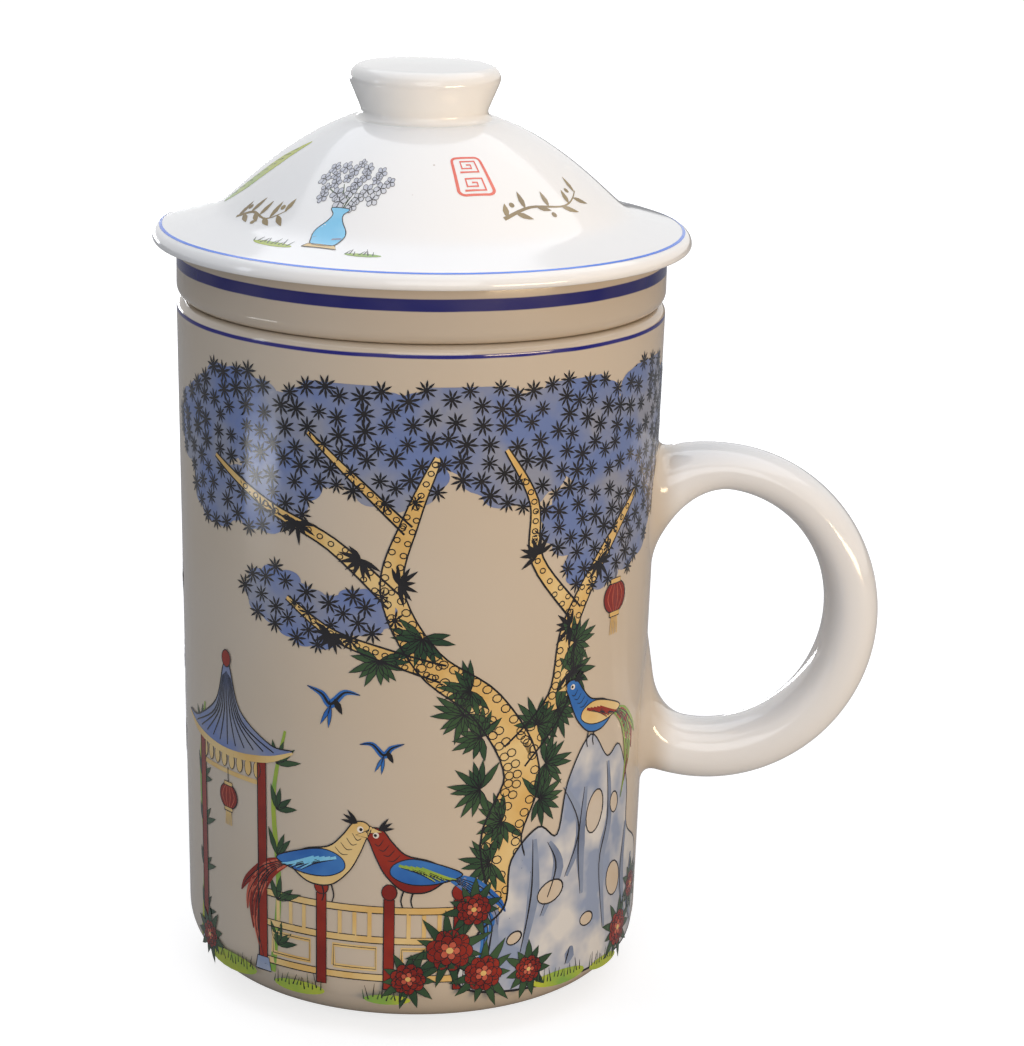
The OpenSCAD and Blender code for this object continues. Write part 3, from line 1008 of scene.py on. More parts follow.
def limb(sheet, layer, points, widths):
    """A trunk or branch with dark edges and, inside them, columns of round bark cells."""
    left, right = stroke(sheet, "ochre", layer, points, widths)
    stroke(sheet, INK, layer + 2, left, [0.36, 0.26], smooth=False)
    stroke(sheet, INK, layer + 2, right, [0.36, 0.26], smooth=False)
    walked = 0.0
    for i in range(1, len(left)):
        width = math.dist(left[i], right[i])
        middle = [(a + b) / 2 for a, b in zip(left[i], right[i])]
        before = [(a + b) / 2 for a, b in zip(left[i - 1], right[i - 1])]
        walked += math.dist(middle, before)
        cell = min(max(width * 0.17, 0.5), 0.8)
        if width < 1.3 or walked < 1.75 * cell:
            continue
        walked = 0.0
        columns = (0.5,) if width < 2.4 else (0.2, 0.8) if width < 5 else (0.14, 0.36, 0.86)
        for share in columns:
            spot = (left[i][0] + (right[i][0] - left[i][0]) * share,
                    left[i][1] + (right[i][1] - left[i][1]) * share)
            ring = oval(spot, cell, cell * 0.86, 0, 9)
            stroke(sheet, INK, layer + 1, ring, [0.2, 0.2], closed=True, smooth=False)


# %% The rock and the fence


def pierced_rock(sheet, layer, outline, holes, folds):
    shape(sheet, "rock", layer, outline, 0.42)
    for fold in folds:
        stroke(sheet, "rock_shade", layer + 1, [(u + 0.5, v) for u, v in fold], [0.5, 2.4, 0.5])
        stroke(sheet, INK, layer + 2, fold, [0.1, 0.36, 0.1])
    for centre, ru, rv, tilt in holes:
        shape(sheet, "bare", layer + 2, oval(centre, ru, rv, tilt), 0.34, smooth=False)


def fence(sheet, layer, start, end, base, height, panels):
    """Red posts with ochre rails and nested lattice frames between them."""
    step = (end - start) / panels
    rails = [base + 2.0, base + height * 0.62, base + height]
    for v in rails:
        shape(sheet, "ochre", layer, block(start, v - 0.6, end, v + 0.6), 0.2, smooth=False)
    for k in range(panels):
        left, right = start + step * k, start + step * (k + 1)
        for inset in (2.2, 3.9):
            low, high = rails[0] + inset - 0.7, rails[1] - inset + 0.7
            if high - low > 0.6:
                corners = block(left + inset, low, right - inset, high)
                stroke(sheet, "ochre", layer, corners, [0.8, 0.8], closed=True, smooth=False)
                stroke(sheet, INK, layer + 1, corners, [0.14, 0.14], closed=True, smooth=False)
        middle = (left + right) / 2
        for u in (middle - step * 0.22, middle, middle + step * 0.22):
            stroke(sheet, "ochre", layer, [(u, rails[1]), (u, rails[2])], [0.7, 0.7], smooth=False)
    for k in range(panels + 1):
        u = start + step * k
        post = block(u - 0.9, base, u + 0.9, base + height + 2)
        shape(sheet, "brick", layer + 2, post, 0.2, smooth=False)
        shape(sheet, "brick", layer + 2, oval((u, base + height + 3.2), 1.3, 1.4), 0.2, smooth=False)


# %% Birds
LEG = 5.2                # how far a bird's middle is over its foot, for a bird of size 1


def bird(sheet, layer, foot, size, facing, body, wing, tail):
    """A long-tailed bird on a rail."""
    def at(*points):
        return moved(points, (foot[0], foot[1] + size * LEG), size, facing)

    for k in range(5):
        drop = 3.0 + 2.2 * k
        feather = at((-3.5, 0.4), (-8.5, -0.6 - 0.25 * drop), (-12.5 + 0.5 * k, -2.5 - 0.7 * drop),
                     (-14.0 + 1.3 * k, -3.0 - 1.25 * drop))
        stroke(sheet, tail[k % 2], layer, feather, [0.6 * size, 1.7 * size, 1.3 * size, 0.2 * size])
        stroke(sheet, INK, layer + 1, feather, [0.12, 0.2, 0.1])
    for u in (1.2, 2.8):
        stroke(sheet, INK, layer, at((u, -2.4), (u + 0.4, -4.0), (u + 0.1, -LEG)), [0.3, 0.2])
    shape(sheet, body, layer + 2, at(
        (-4.6, 0.6), (-1.4, 2.6), (2.4, 3.6), (4.6, 5.6), (6.2, 7.6), (7.9, 7.9), (8.9, 6.8), (8.2, 5.2),
        (7.2, 2.8), (5.6, 0.0), (2.8, -2.4), (-0.6, -2.6), (-3.2, -1.2)), 0.3)
    shape(sheet, "ochre", layer + 3, at((8.7, 7.4), (10.6, 6.5), (8.6, 6.2)), 0.16, smooth=False)
    for k in range(3):
        crest = 90 + facing * (38 + 22 * k)
        leaf(sheet, INK, layer + 3, at((6.9, 7.6))[0], crest, size * 2.6, size * 0.6)
    fill(sheet, "white", layer + 4, oval(at((7.3, 6.7))[0], 0.5 * size, 0.5 * size, 0, 12))
    fill(sheet, INK, layer + 5, oval(at((7.4, 6.7))[0], 0.26 * size, 0.26 * size, 0, 10))
    shape(sheet, wing[0], layer + 4, at(
        (-6.6, 0.2), (-3.0, 2.0), (1.4, 3.0), (4.4, 2.0), (4.8, 0.2), (2.0, -1.2), (-2.4, -1.2)), 0.24)
    for k in range(5):
        stroke(sheet, wing[1], layer + 6, at(
            (3.6 - 0.9 * k, 1.9 - 0.1 * k), (0.4 - 1.1 * k, 0.9 - 0.25 * k),
            (-2.2 - 0.85 * k, -0.7 + 0.05 * k)), [0.5, 0.36, 0.12])
        stroke(sheet, INK, layer + 6, at(
            (3.2 - 0.9 * k, 1.5 - 0.1 * k), (0.2 - 1.1 * k, 0.5 - 0.25 * k),
            (-2.2 - 0.85 * k, -0.9 + 0.05 * k)), [0.08, 0.18, 0.08])
    for k in range(4):
        stroke(sheet, INK, layer + 3, at(
            (3.4 + 0.9 * k, 3.6 + 0.8 * k), (4.4 + 0.8 * k, 2.6 + 0.8 * k),
            (5.4 + 0.7 * k, 2.6 + 0.9 * k)), [0.08, 0.16, 0.08])


def swallow(sheet, layer, place, size, facing):
    u, v = place
    wings = moved([(-4.2, 2.6), (-1.6, 1.6), (0, 0), (2.4, 2.2), (5.0, 2.0)], place, size, facing)
    for paint, lift, wide in (("cobalt", 0, 1.0), (INK, 1, 0.34)):
        stroke(sheet, paint, layer + lift, wings,
               [0.12, 1.1 * wide * size, 1.5 * wide * size, 1.0 * wide * size, 0.12])
    leaf(sheet, INK, layer + 1, (u + 0.6 * size, v + 1.0 * size), -62, 3.0 * size, 1.2 * size)
    for angle in (-96, -118):
        leaf(sheet, "cobalt", layer, (u, v - 0.2 * size), angle, 4.0 * size, 0.7 * size, 0.1)


# %% Lantern and pavilion


def lantern(sheet, layer, top, size):
    def at(*points):
        return moved(points, top, size)

    stroke(sheet, INK, layer, at((0, 3.5), (0, 0)), [0.2, 0.2], smooth=False)
    globe = oval(at((0, -3.4))[0], 3.3 * size, 3.0 * size, 0, 26)
    shape(sheet, "brick", layer, globe, 0.26, smooth=False)
    for share in (-0.62, -0.22, 0.22, 0.62):
        rib = at((share * 1.4, -0.8), (share * 3.6, -3.4), (share * 1.4, -6.0))
        stroke(sheet, "rose", layer + 2, rib, [0.12, 0.24, 0.12])
    for height in (-0.4, -6.4):
        cap = at(*block(-1.5, height - 0.5, 1.5, height + 0.4))
        shape(sheet, "ochre", layer + 2, cap, 0.18, smooth=False)
    for k in range(-2, 3):
        thread = at((0.42 * k, -6.9), (0.55 * k, -10.2))
        stroke(sheet, "ochre", layer + 1, thread, [0.3, 0.2], smooth=False)


def pavilion(sheet, layer, middle, base, half, height):
    """Two red posts under a swept tiled roof, with stone feet and a fringe at the top."""
    top = base + height

    def at(*points):
        return moved(points, (middle, top), 1)

    for u in (middle - half, middle + half):
        shape(sheet, "brick", layer + 2, block(u - 0.95, base, u + 0.95, top), 0.24, smooth=False)
        stone = [(u - 1.8, base - 1.2), (u + 1.8, base - 1.2), (u + 1.3, base + 1.2), (u - 1.3, base + 1.2)]
        shape(sheet, "rock", layer + 4, stone, 0.24, smooth=False)
    fringe = int(half * 2 / 1.9)
    for k in range(fringe):
        u = middle - half + 2 * half * (k + 0.5) / fringe
        shape(sheet, "ochre", layer + 1, oval((u, top - 2.0), 0.8, 1.5, 0, 12), 0.18, smooth=False)
    for v in (-4.2, -0.4):
        stroke(sheet, "ochre", layer + 1, at((-half, v), (half, v)), [0.8, 0.8], smooth=False)
    eaves = half + 6.5
    slope = [(eaves, 2.6), (half + 2, 3.0), (half * 0.4, 7.5), (0.8, 14.5)]
    roof = [(-u, v) for u, v in slope] + slope[::-1] + [(half + 1, -0.2), (0, -1.0), (-half - 1, -0.2)]
    shape(sheet, "slate", layer + 2, at(*roof), 0.34)
    for k in range(-5, 6):
        share = k / 5.6
        tiles = at((share * 1.2, 13.4 - abs(share)), (share * half * 0.5, 6.6 - abs(share)),
                   (share * (half + 4), 0.6 + 1.3 * abs(share)))
        stroke(sheet, INK, layer + 4, tiles, [0.1, 0.3, 0.24])
    edge = at((-eaves, 2.4), (-half - 1, 0.3), (0, -0.7), (half + 1, 0.3), (eaves, 2.4))
    stroke(sheet, "ochre", layer + 5, edge, [0.4, 1.2, 1.2, 1.2, 0.4])
    shape(sheet, "brick", layer + 5, oval((middle, top + 15.6), 1.2, 1.5, 0, 14), 0.22, smooth=False)


# %% Grass and blossoming twigs


def tuft(sheet, layer, base, width, rng):
    fill(sheet, "lime", layer, oval(base, width / 2, width * 0.11, 0, 20))
    for i in range(int(width * 1.3)):
        root = (base[0] - width / 2 + i / 1.3, base[1] + rng.uniform(-0.3, 0.4))
        tip = (root[0] + rng.uniform(-0.8, 0.8), root[1] + rng.uniform(1.2, 2.6))
        stroke(sheet, INK if i % 3 else "leaf", layer + 1, [root, tip], [0.26, 0.06], smooth=False)


def bough(sheet, layer, points, widths, paint, rng, count):
    """A twig with blossoms and pairs of leaves along it."""
    stroke(sheet, "ochre", layer, points, widths)
    line = curve(points)
    for k in range(count):
        i = int((k + 0.7) / count * (len(line) - 1))
        (u, v), side = line[i], 1 if k % 2 else -1
        spot = (u + rng.uniform(-1, 1), v + side * rng.uniform(1.6, 3.2))
        stroke(sheet, INK, layer + 1, [(u, v), spot], [0.25, 0.14], smooth=False)
        facing = 90 * side + rng.uniform(-40, 40)
        spray(sheet, "leaf", layer + 1, spot, facing, 90, 3, 3.2, 1.0, rng, 0.08)
        blossom(sheet, paint, layer + 2, spot, rng.uniform(1.5, 2.1), rng)


# %% [markdown]
# ### The garden, placed
# The points given below are the composition: canopy and limbs first, then what stands around
# the tree. Small growth is scattered from a fixed seed, so the picture comes out the same each time.

# %% Canopy and limbs
PICTURE_TOP = 111.5
garden = {}
rng = random.Random(11)

PADS = [
    (-43, 99, 10, 8), (-33, 104, 12, 8), (-22, 100, 11, 9), (-12, 105, 12, 8), (-4, 98, 9, 7),
    (7, 105, 12, 8), (16, 99, 10, 8), (26, 104, 12, 9), (36, 98, 12, 9), (46, 104, 11, 9),
    (55, 101, 8, 8), (30, 88, 10, 7), (40, 85, 11, 8), (48, 90, 7, 7), (33, 80, 8, 5),
    (-38, 90, 8, 6), (-27, 91, 9, 6), (-17, 72, 8, 5), (-24, 75, 7, 5), (-9, 74, 6, 4),
]
for k, (u, v, ru, rv) in enumerate(PADS):
    fill(garden, "slate", k / 5, cloud((u, v), ru, rv, 9 + k % 3, 0.7 * k, PICTURE_TOP))

limb(garden, 5, [(20, 20), (15, 34), (18.5, 46), (12, 58), (2, 66), (-4, 78), (-1, 90), (3, 100)],
     [9.0, 7.4, 6.6, 5.8, 4.8, 3.8, 2.6, 1.2])
limb(garden, 5, [(17, 49), (25, 58), (27, 70), (34, 81), (43, 90)], [5.4, 4.4, 3.4, 2.4, 1.0])
limb(garden, 5, [(4.5, 64), (-5, 67), (-14, 70), (-22, 75)], [3.0, 2.3, 1.6, 0.8])
limb(garden, 5, [(-3.5, 76), (-14, 85), (-26, 90), (-38, 96)], [3.0, 2.3, 1.7, 0.8])
limb(garden, 5, [(28, 72), (20, 82), (19, 92), (14, 101)], [2.8, 2.2, 1.6, 0.8])
limb(garden, 5, [(-1.5, 88), (-9, 95), (-18, 103)], [1.8, 1.4, 0.7])
print(f"canopy of {len(PADS)} pads")

# %% Rock, pavilion, fence and birds
pierced_rock(
    garden, 8,
    [(9, 9), (11, 18), (16, 23), (17, 31), (22, 36), (26, 34), (28, 43), (33, 50), (38, 45), (42, 46),
     (46, 38), (47, 30), (53, 25), (55, 14), (50, 9), (30, 7.5)],
    [((35, 36), 2.2, 3.8, -12), ((25, 24), 2.8, 1.9, 20), ((42, 22), 2.4, 3.2, 15),
     ((34, 17), 1.7, 1.2, 0), ((41, 36), 1.3, 1.9, 10), ((18, 17), 1.5, 1.0, 30)],
    [[(27, 42), (31, 34), (28, 26)], [(38, 44), (39, 34), (37, 26), (39, 14)],
     [(32, 41), (31, 31), (32, 22)], [(46, 31), (45, 21), (48, 12)], [(21, 34), (21, 24), (19, 13)],
     [(30, 13), (29, 10)], [(50, 24), (49, 16), (52, 11)], [(14, 20), (13, 13)],
     [(24, 33), (26, 28), (23, 20)]])

pavilion(garden, 6, -36, 10, 8.5, 36)
lantern(garden, 8, (-36, 40), 0.75)
fence(garden, 5, -27.5, 8, 9, 14, 3)
for u in (-46.5, -25.5):
    stroke(garden, "lime", 4, [(u, 9), (u + 1.5, 24), (u + 0.5, 40), (u + 3, 52)], [1.3, 1.1, 0.9, 0.5])
    for v in range(14, 52, 8):
        spray(garden, "leaf", 5, (u + 1.2, v), 60 if v % 16 else 200, 90, 4, 5.0, 1.1, rng, 0.1)
bird(garden, 8, (-17, 23.6), 1.12, 1, "ochre", ("cobalt", "sky"), ("brick", "rose"))
bird(garden, 8, (1.5, 23.6), 1.05, -1, "brick", ("cobalt", "lime"), ("cobalt", "slate"))
bird(garden, 12, (35, 48), 0.95, -1, "cobalt", ("ochre", "brick"), ("lime", "brick"))
lantern(garden, 8, (38, 76), 0.95)
swallow(garden, 5, (-14, 58), 1.0, 1)
swallow(garden, 5, (-5, 50), 0.8, -1)
print("paints in use:", sorted(garden))

# %% Ivy, peonies and grass
for base, facing in (((9, 61), 200), ((23, 47), -10), ((28, 62), 20), ((11, 44), 170), ((1, 70), 250),
                     ((15, 38), 200), ((21, 54), 60), ((11, 53), 160), ((25, 56), -30), ((13, 31), 190),
                     ((8, 57), 230), ((22, 41), 10), ((28, 67), 0), ((-6, 66), 270)):
    spray(garden, "leaf", 6, base, facing, 230, 11, 5.2, 1.25, rng, 0.16)
for base, facing in (((-14, 70), 250), ((33, 80), 300), ((-20, 88), 260), ((27, 70), 180), ((-3, 79), 20),
                     ((-9, 83), 230), ((20, 83), 120), ((27, 62), 330)):
    spray(garden, INK, 6, base, facing, 190, 8, 3.8, 0.8, rng)

for u, v, size in ((6.5, 16, 4.0), (12.5, 11.5, 3.4), (-0.5, 11, 3.0), (10.5, 23, 3.0), (45, 12, 3.4),
                   (51, 18, 2.6), (21, 11, 2.6), (-43, 10.5, 2.6)):
    spray(garden, "leaf", 13, (u, v), 90, 330, 11, size * 1.9, 1.6, rng, 0.14)
    flower(garden, 14, (u, v), size, rng)
for u, v, width in ((-36, 8, 14), (-20, 7.5, 10), (28, 8, 12), (40, 7.5, 9), (-4, 7.2, 8)):
    tuft(garden, 12, (u, v), width, rng)
print(f"{sum(len(marks) for marks in garden.values())} marks so far")

# %% The quiet side of the mug
bough(garden, 3, [(-66, 26), (-61, 44), (-64, 60), (-58, 74)], [1.8, 1.4, 1.0, 0.4], "mist", rng, 7)
bough(garden, 3, [(84, 24), (92, 46), (88, 66), (98, 84), (112, 92)], [3.0, 2.4, 1.8, 1.2, 0.5],
      "rose", rng, 13)
bough(garden, 3, [(91, 60), (98, 63), (106, 60), (113, 64)], [1.6, 1.2, 0.9, 0.4], "rose", rng, 6)
swallow(garden, 5, (-93, 84), 1.0, 1)
swallow(garden, 5, (-84, 74), 0.8, -1)
for u, v, width in ((86, 14, 14), (104, 12, 10), (-120, 12, 12)):
    tuft(garden, 5, (u, v), width, rng)
for u in (-128, -121, -113):
    stroke(garden, "lime", 3, [(u, 12), (u + 2, 40), (u + 1, 66), (u + 5, 92)], [1.6, 1.4, 1.1, 0.6])
    for v in range(20, 90, 9):
        stroke(garden, INK, 5, [(u + 0.2, v), (u + 3.0, v)], [0.25, 0.25], smooth=False)
        joint, facing = (u + 1.6 + 1.4 * (v % 2), v), -60 if v % 2 else 240
        spray(garden, "leaf", 6, joint, facing, 70, 4, 6.0, 1.2, rng, 0.1)
print("garden:", {paint: len(marks) for paint, marks in garden.items()})

# %% [markdown]
# ### From flat marks to fired film
# A sheet of marks is cut into narrow strips first, so that it can follow the wall. Then a geometry
# tree wraps it: u becomes an angle, v stays the height, and the mark's own layer is added to the
# wall's radius. The film stands about a tenth of a millimetre proud, as a thick transfer does.

# %% Strips
STRIP = 2.0              # width of a strip, in mm
FILM = 0.03              # height of the lowest layer over the glaze, in mm
PICTURE_R = 40.0         # radius at which u is a true length
LEAST_AREA = 1e-4        # smaller marks than this, in mm2, are left out


def flat_sheet(name, marks, both_ways=False):
    """The marks as one flat mesh in metres, cut into strips."""
    work = bmesh.new()
    for order, (layer, points) in enumerate(marks):
        area = sum(a[0] * b[1] - b[0] * a[1] for a, b in zip(points, points[1:] + points[:1])) / 2
        if abs(area) < LEAST_AREA:
            continue
        height = layer * PAINT_STEP + order % TURNS * HAIR
        ring = points if area > 0 else points[::-1]
        work.faces.new([work.verts.new((u, v, height)) for u, v in ring])
    bmesh.ops.triangulate(work, faces=work.faces[:])
    for axis in (0, 1) if both_ways else (0,):
        places = [vert.co[axis] for vert in work.verts]
        along = Vector((axis == 0, axis == 1, 0))
        for k in range(math.ceil(min(places) / STRIP), math.floor(max(places) / STRIP) + 1):
            at = k * STRIP
            near = [f for f in work.faces
                    if min(v.co[axis] for v in f.verts) < at < max(v.co[axis] for v in f.verts)]
            if near:
                edges = {e for f in near for e in f.edges}
                corners = {v for f in near for v in f.verts}
                bmesh.ops.bisect_plane(work, geom=near + list(edges) + list(corners),
                                       plane_co=along * at, plane_no=along, dist=1e-5)
    bmesh.ops.scale(work, vec=(MM, MM, MM), verts=work.verts)
    mesh = bpy.data.meshes.new(name)
    work.to_mesh(mesh)
    work.free()
    return mesh


# %% The wrapping tree


def wrap_tree():
    tree, given = new_tree("wrap_round_wall", Table_radius="Float", Rise="Float", Lift="Float",
                           Picture_radius="Float", Paint="Material")
    here = add(tree, "GeometryNodeInputPosition")
    flat = add(tree, "ShaderNodeSeparateXYZ", {0: here}).outputs
    angle = calc(tree, "DIVIDE", flat["X"], given["Picture_radius"])
    wall = calc(tree, "MULTIPLY_ADD", given["Rise"], flat["Y"], given["Table_radius"])
    radius = calc(tree, "ADD", wall, calc(tree, "ADD", flat["Z"], given["Lift"]))
    x = calc(tree, "MULTIPLY", calc(tree, "SINE", angle), radius)
    y = calc(tree, "MULTIPLY", calc(tree, "COSINE", angle), calc(tree, "MULTIPLY", radius, -1.0))
    out = add(tree, "ShaderNodeCombineXYZ", {"X": x, "Y": y, "Z": flat["Y"]})
    placed = add(tree, "GeometryNodeSetPosition", {"Geometry": given["Geometry"], "Position": out})
    end_tree(tree, placed, given["Paint"])
    return tree


# %% [markdown]
# ### Foliage
# The pads are filled with small whorls of pointed leaves, a few hundred of them, evenly but not
# regularly spaced. Poisson scattering does exactly that, so a tree spreads them on the flat pads,
# turns each by a random angle, and only then is the sheet wrapped.

# %% The scattering tree
WHORL_GAP = 2.7
WHORL_R = 1.85
WHORL_LEAVES = 9
WHORL_HEART = 0.22       # the leaves begin this far from the middle
WHORL_SIZES = (0.82, 1.12)       # the smallest and largest, as shares
CROWDING = 4.0e6         # more points per m2 than fit, so that the gap alone sets their number
FOLIAGE_LAYER = 4.4      # just over the pads, under the limbs


def whorl():
    """One whorl of leaves, flat, as a small mesh."""
    marks = {}
    for k in range(WHORL_LEAVES):
        angle = 360 * k / WHORL_LEAVES
        a = math.radians(angle)
        root = (WHORL_HEART * math.cos(a), WHORL_HEART * math.sin(a))
        leaf(marks, INK, 0, root, angle, WHORL_R - WHORL_HEART, 0.44)
    fill(marks, INK, 0, oval((0, 0), 0.5, 0.5, 0, 9))
    return new_object("whorl", flat_sheet("whorl", marks[INK]))


def scatter_tree():
    tree, given = new_tree("scatter_foliage", Whorl="Object", Gap="Float", Seed="Int", Paint="Material")
    spots = add(tree, "GeometryNodeDistributePointsOnFaces",
                {"Mesh": given["Geometry"], "Distance Min": given["Gap"], "Density Max": CROWDING,
                 "Seed": given["Seed"]}, distribute_method="POISSON")
    turned_by = add(tree, "FunctionNodeRandomValue",
                    {"Min": (0, 0, 0), "Max": (0, 0, 2 * math.pi), "Seed": given["Seed"]},
                    data_type="FLOAT_VECTOR")
    size = add(tree, "FunctionNodeRandomValue",
               {2: WHORL_SIZES[0], 3: WHORL_SIZES[1], "Seed": 5}, data_type="FLOAT")
    tool = add(tree, "GeometryNodeObjectInfo", {"Object": given["Whorl"]})
    placed = add(tree, "GeometryNodeInstanceOnPoints", {
        "Points": spots.outputs["Points"], "Instance": tool.outputs["Geometry"],
        "Rotation": turned_by, "Scale": size.outputs[1]})
    end_tree(tree, placed, given["Paint"])
    return tree


# %% [markdown]
# ## Fired colours
# Transfer colours are glass frits with metal oxides: cobalt, iron, chrome. Fired on, they take the
# gloss of the glaze under them and vary a little in strength where the film was thicker.

# %% Paint
CLOUD_SPAN = (0.38, 0.62)        # the noise that makes the clouds runs between these
PAINT_DULL = 0.05        # a fired colour is this much rougher than the glaze


def fired_paint(name, code, drift_code):
    material, tree, shader, place = new_material("fired_" + name)
    share = map_range(tree, noise(tree, place, CLOUD_MM, detail=3.0), *CLOUD_SPAN)
    tone = laid_over(tree, code, share, drift_code)
    feed(tree, shader, {"Base Color": tone, "Roughness": GLAZE_ROUGHNESS + PAINT_DULL, "IOR": GLAZE_IOR})
    return material


fired = {name: fired_paint(name, *codes) for name, codes in PAINTS.items()}
print("fired:", ", ".join(fired))

# %% The garden on its wall
WRAP = wrap_tree()


def wrap(name, sheet, paint):
    return run_tree(name, sheet, WRAP, Table_radius=BASE_R * MM, Rise=RISE, Lift=FILM * MM,
                    Picture_radius=PICTURE_R * MM, Paint=fired[paint])


for paint, marks in garden.items():
    hand_over(wrap("garden_" + paint, flat_sheet(paint, marks), paint), "mug", "mug_glaze")

one_whorl = whorl()
pads = flat_sheet("pads", [(FOLIAGE_LAYER, points) for _, points in garden["slate"][:len(PADS)]])
foliage = run_tree("foliage_flat", pads, scatter_tree(), Whorl=one_whorl, Gap=WHORL_GAP * MM, Seed=4,
                   Paint=fired["ink"])
hand_over(wrap("garden_foliage", foliage.data.copy(), "ink"), "mug", "mug_glaze")
for used in (foliage, one_whorl):
    bpy.data.objects.remove(used)

# %% [markdown]
# ## The lid's picture
# Small marks only, set wide apart: tufts, a vase of blossoms, a red fret ornament and a sprig in
# brown gold. They are drawn upright at the brim and laid on the dome from above: a tree casts a ray
# down from every point of the flat sheet and lifts it off the surface by its own layer.
# The blue line near the edge is a brushed line like the mug's, laid the same way as a thin ring.

# %% Onto the lid, and its vase
LID_BLUE = "lid_blue"
fired[LID_BLUE] = fired_paint(LID_BLUE, "#3573E4", "#4480EA")
FORESHORTEN = 0.79       # what the slope leaves of a drawn length, seen from above
GOLDEN_ANGLE = 137.5     # degrees from one blossom to the next, which spreads them evenly
lid_art = {}


def on_lid(sheet, azimuth, radius):
    """Moves a sheet drawn upright about (0, 0) onto the plan of the lid."""
    for paint, marks in sheet.items():
        for layer, points in marks:
            placed = []
            for u, v in points:
                r = radius - v * FORESHORTEN
                t = math.radians(azimuth) + u / radius
                placed.append((r * math.cos(t), r * math.sin(t)))
            fill(lid_art, paint, layer, placed)


def vase(rng):
    """A pale-blue vase of grey blossoms on a low stand."""
    sheet = {}
    for k in range(-3, 4):
        stroke(sheet, "leaf", 0, [(0.15 * k, 7.5), (0.9 * k, 11), (2.1 * k, 14 - 0.4 * abs(k))],
               [0.3, 0.3, 0.16])
    for k in range(24):
        angle, reach = k * GOLDEN_ANGLE, 0.8 + 1.5 * math.sqrt(k)
        spot = (reach * 1.15 * math.cos(math.radians(angle)),
                14 + reach * 0.62 * math.sin(math.radians(angle)))
        blossom(sheet, "mist", 2, spot, rng.uniform(1.15, 1.6), rng)
    shape(sheet, "sky", 5, [(-1.7, 0), (-2.7, 1.8), (-3.0, 4.0), (-1.5, 6.2), (-1.1, 7.4), (-1.9, 8.6),
          (1.9, 8.6), (1.1, 7.4), (1.5, 6.2), (3.0, 4.0), (2.7, 1.8), (1.7, 0)], 0.24)
    stroke(sheet, "slate", 6, [(-2.7, 2.6), (0, 2.1), (2.7, 2.6)], [0.5, 0.5, 0.5])
    stroke(sheet, "white", 6, [(-1.6, 5.4), (-2.2, 4.2), (-2.1, 3.2)], [0.2, 0.5, 0.2])
    shape(sheet, "ochre", 6, [(-3, -1.2), (3, -1.2), (2.4, 0.1), (-2.4, 0.1)], 0.2, smooth=False)
    return sheet


# %% Fret and sprig


def fret(width, height):
    """A rounded frame that holds two stepped frets."""
    sheet = {}
    frame_line = []
    for k, (side, up) in enumerate(((1, 1), (-1, 1), (-1, -1), (1, -1))):
        corner = (side * (width / 2 - 1), up * (height / 2 - 1))
        frame_line += arc(corner, 1.0, 90 * k, 90 * k + 90, 5)
    stroke(sheet, "seal", 0, frame_line, [0.5, 0.5], closed=True, smooth=False)
    for middle in (-height / 4 + 0.1, height / 4 - 0.1):
        key = moved([(-1.7, -1.3), (1.5, -1.3), (1.5, 1.3), (-1.2, 1.3), (-1.2, -0.4), (0.5, -0.4),
                     (0.5, 0.45), (-0.3, 0.45)], (0, middle), 1)
        stroke(sheet, "seal", 1, key, [0.42, 0.36], smooth=False)
    return sheet


def sprig(rng, length):
    """A stem that runs round the lid, with pairs of leaves and buds, in brown gold."""
    sheet = {}
    stem = [(-length / 2, -1), (-length / 5, 0.8), (length / 5, 0.2), (length / 2, 2.4)]
    stroke(sheet, "gold", 0, stem, [0.7, 0.5, 0.3, 0.15])
    line = curve(stem)
    for k in range(1, len(line) - 1, 2):
        side = 1 if k % 4 == 1 else -1
        leaf(sheet, "gold", 1, line[k], 25 + 55 * side + rng.uniform(-8, 8), rng.uniform(2.4, 3.6), 1.1)
        if k % 3 == 0:
            fill(sheet, "gold", 1, oval((line[k][0], line[k][1] - side * 1.6), 0.5, 0.5, 0, 10))
    return sheet


def tufts(rng, width):
    sheet = {}
    tuft(sheet, 0, (0, 0), width, rng)
    return sheet


# %% The lid's marks, placed
on_lid(vase(rng), -116, 36.5)
on_lid(tufts(rng, 8), -129, 38)
on_lid(tufts(rng, 6), -104, 38.5)
on_lid(sprig(rng, 11), -144, 33)
on_lid(fret(5.4, 8.6), -71, 23.5)
on_lid(sprig(rng, 19), -47, 30)
on_lid(vase(rng), 60, 36)
on_lid(tufts(rng, 9), 38, 37)
on_lid(tufts(rng, 7), 112, 37)
on_lid(sprig(rng, 16), 152, 31)
willow = {}
stroke(willow, "lime", 0, [(-6, 0), (-3, 5), (-1, 11), (2, 17)], [0.8, 3.6, 4.2, 0.8])
for k in range(9):
    side_leaf = [(-4.5 + 0.6 * k, 2.5 + 1.5 * k), (-6.5 + 0.6 * k, 1.5 + 1.5 * k)]
    stroke(willow, "leaf", 1, side_leaf, [0.3, 0.1], smooth=False)
on_lid(willow, -163, 33)
ring = arc((0, 0), sum(LID_LINE_R) / 2, 0, 360, 240)[:-1]
ring_width = LID_LINE_R[1] - LID_LINE_R[0]
stroke(lid_art, LID_BLUE, 0, ring, [ring_width, ring_width], closed=True, smooth=False)
print("lid:", {paint: len(marks) for paint, marks in lid_art.items()})

# %% Laid from above
RAY_START = 0.5          # m, well over the lid


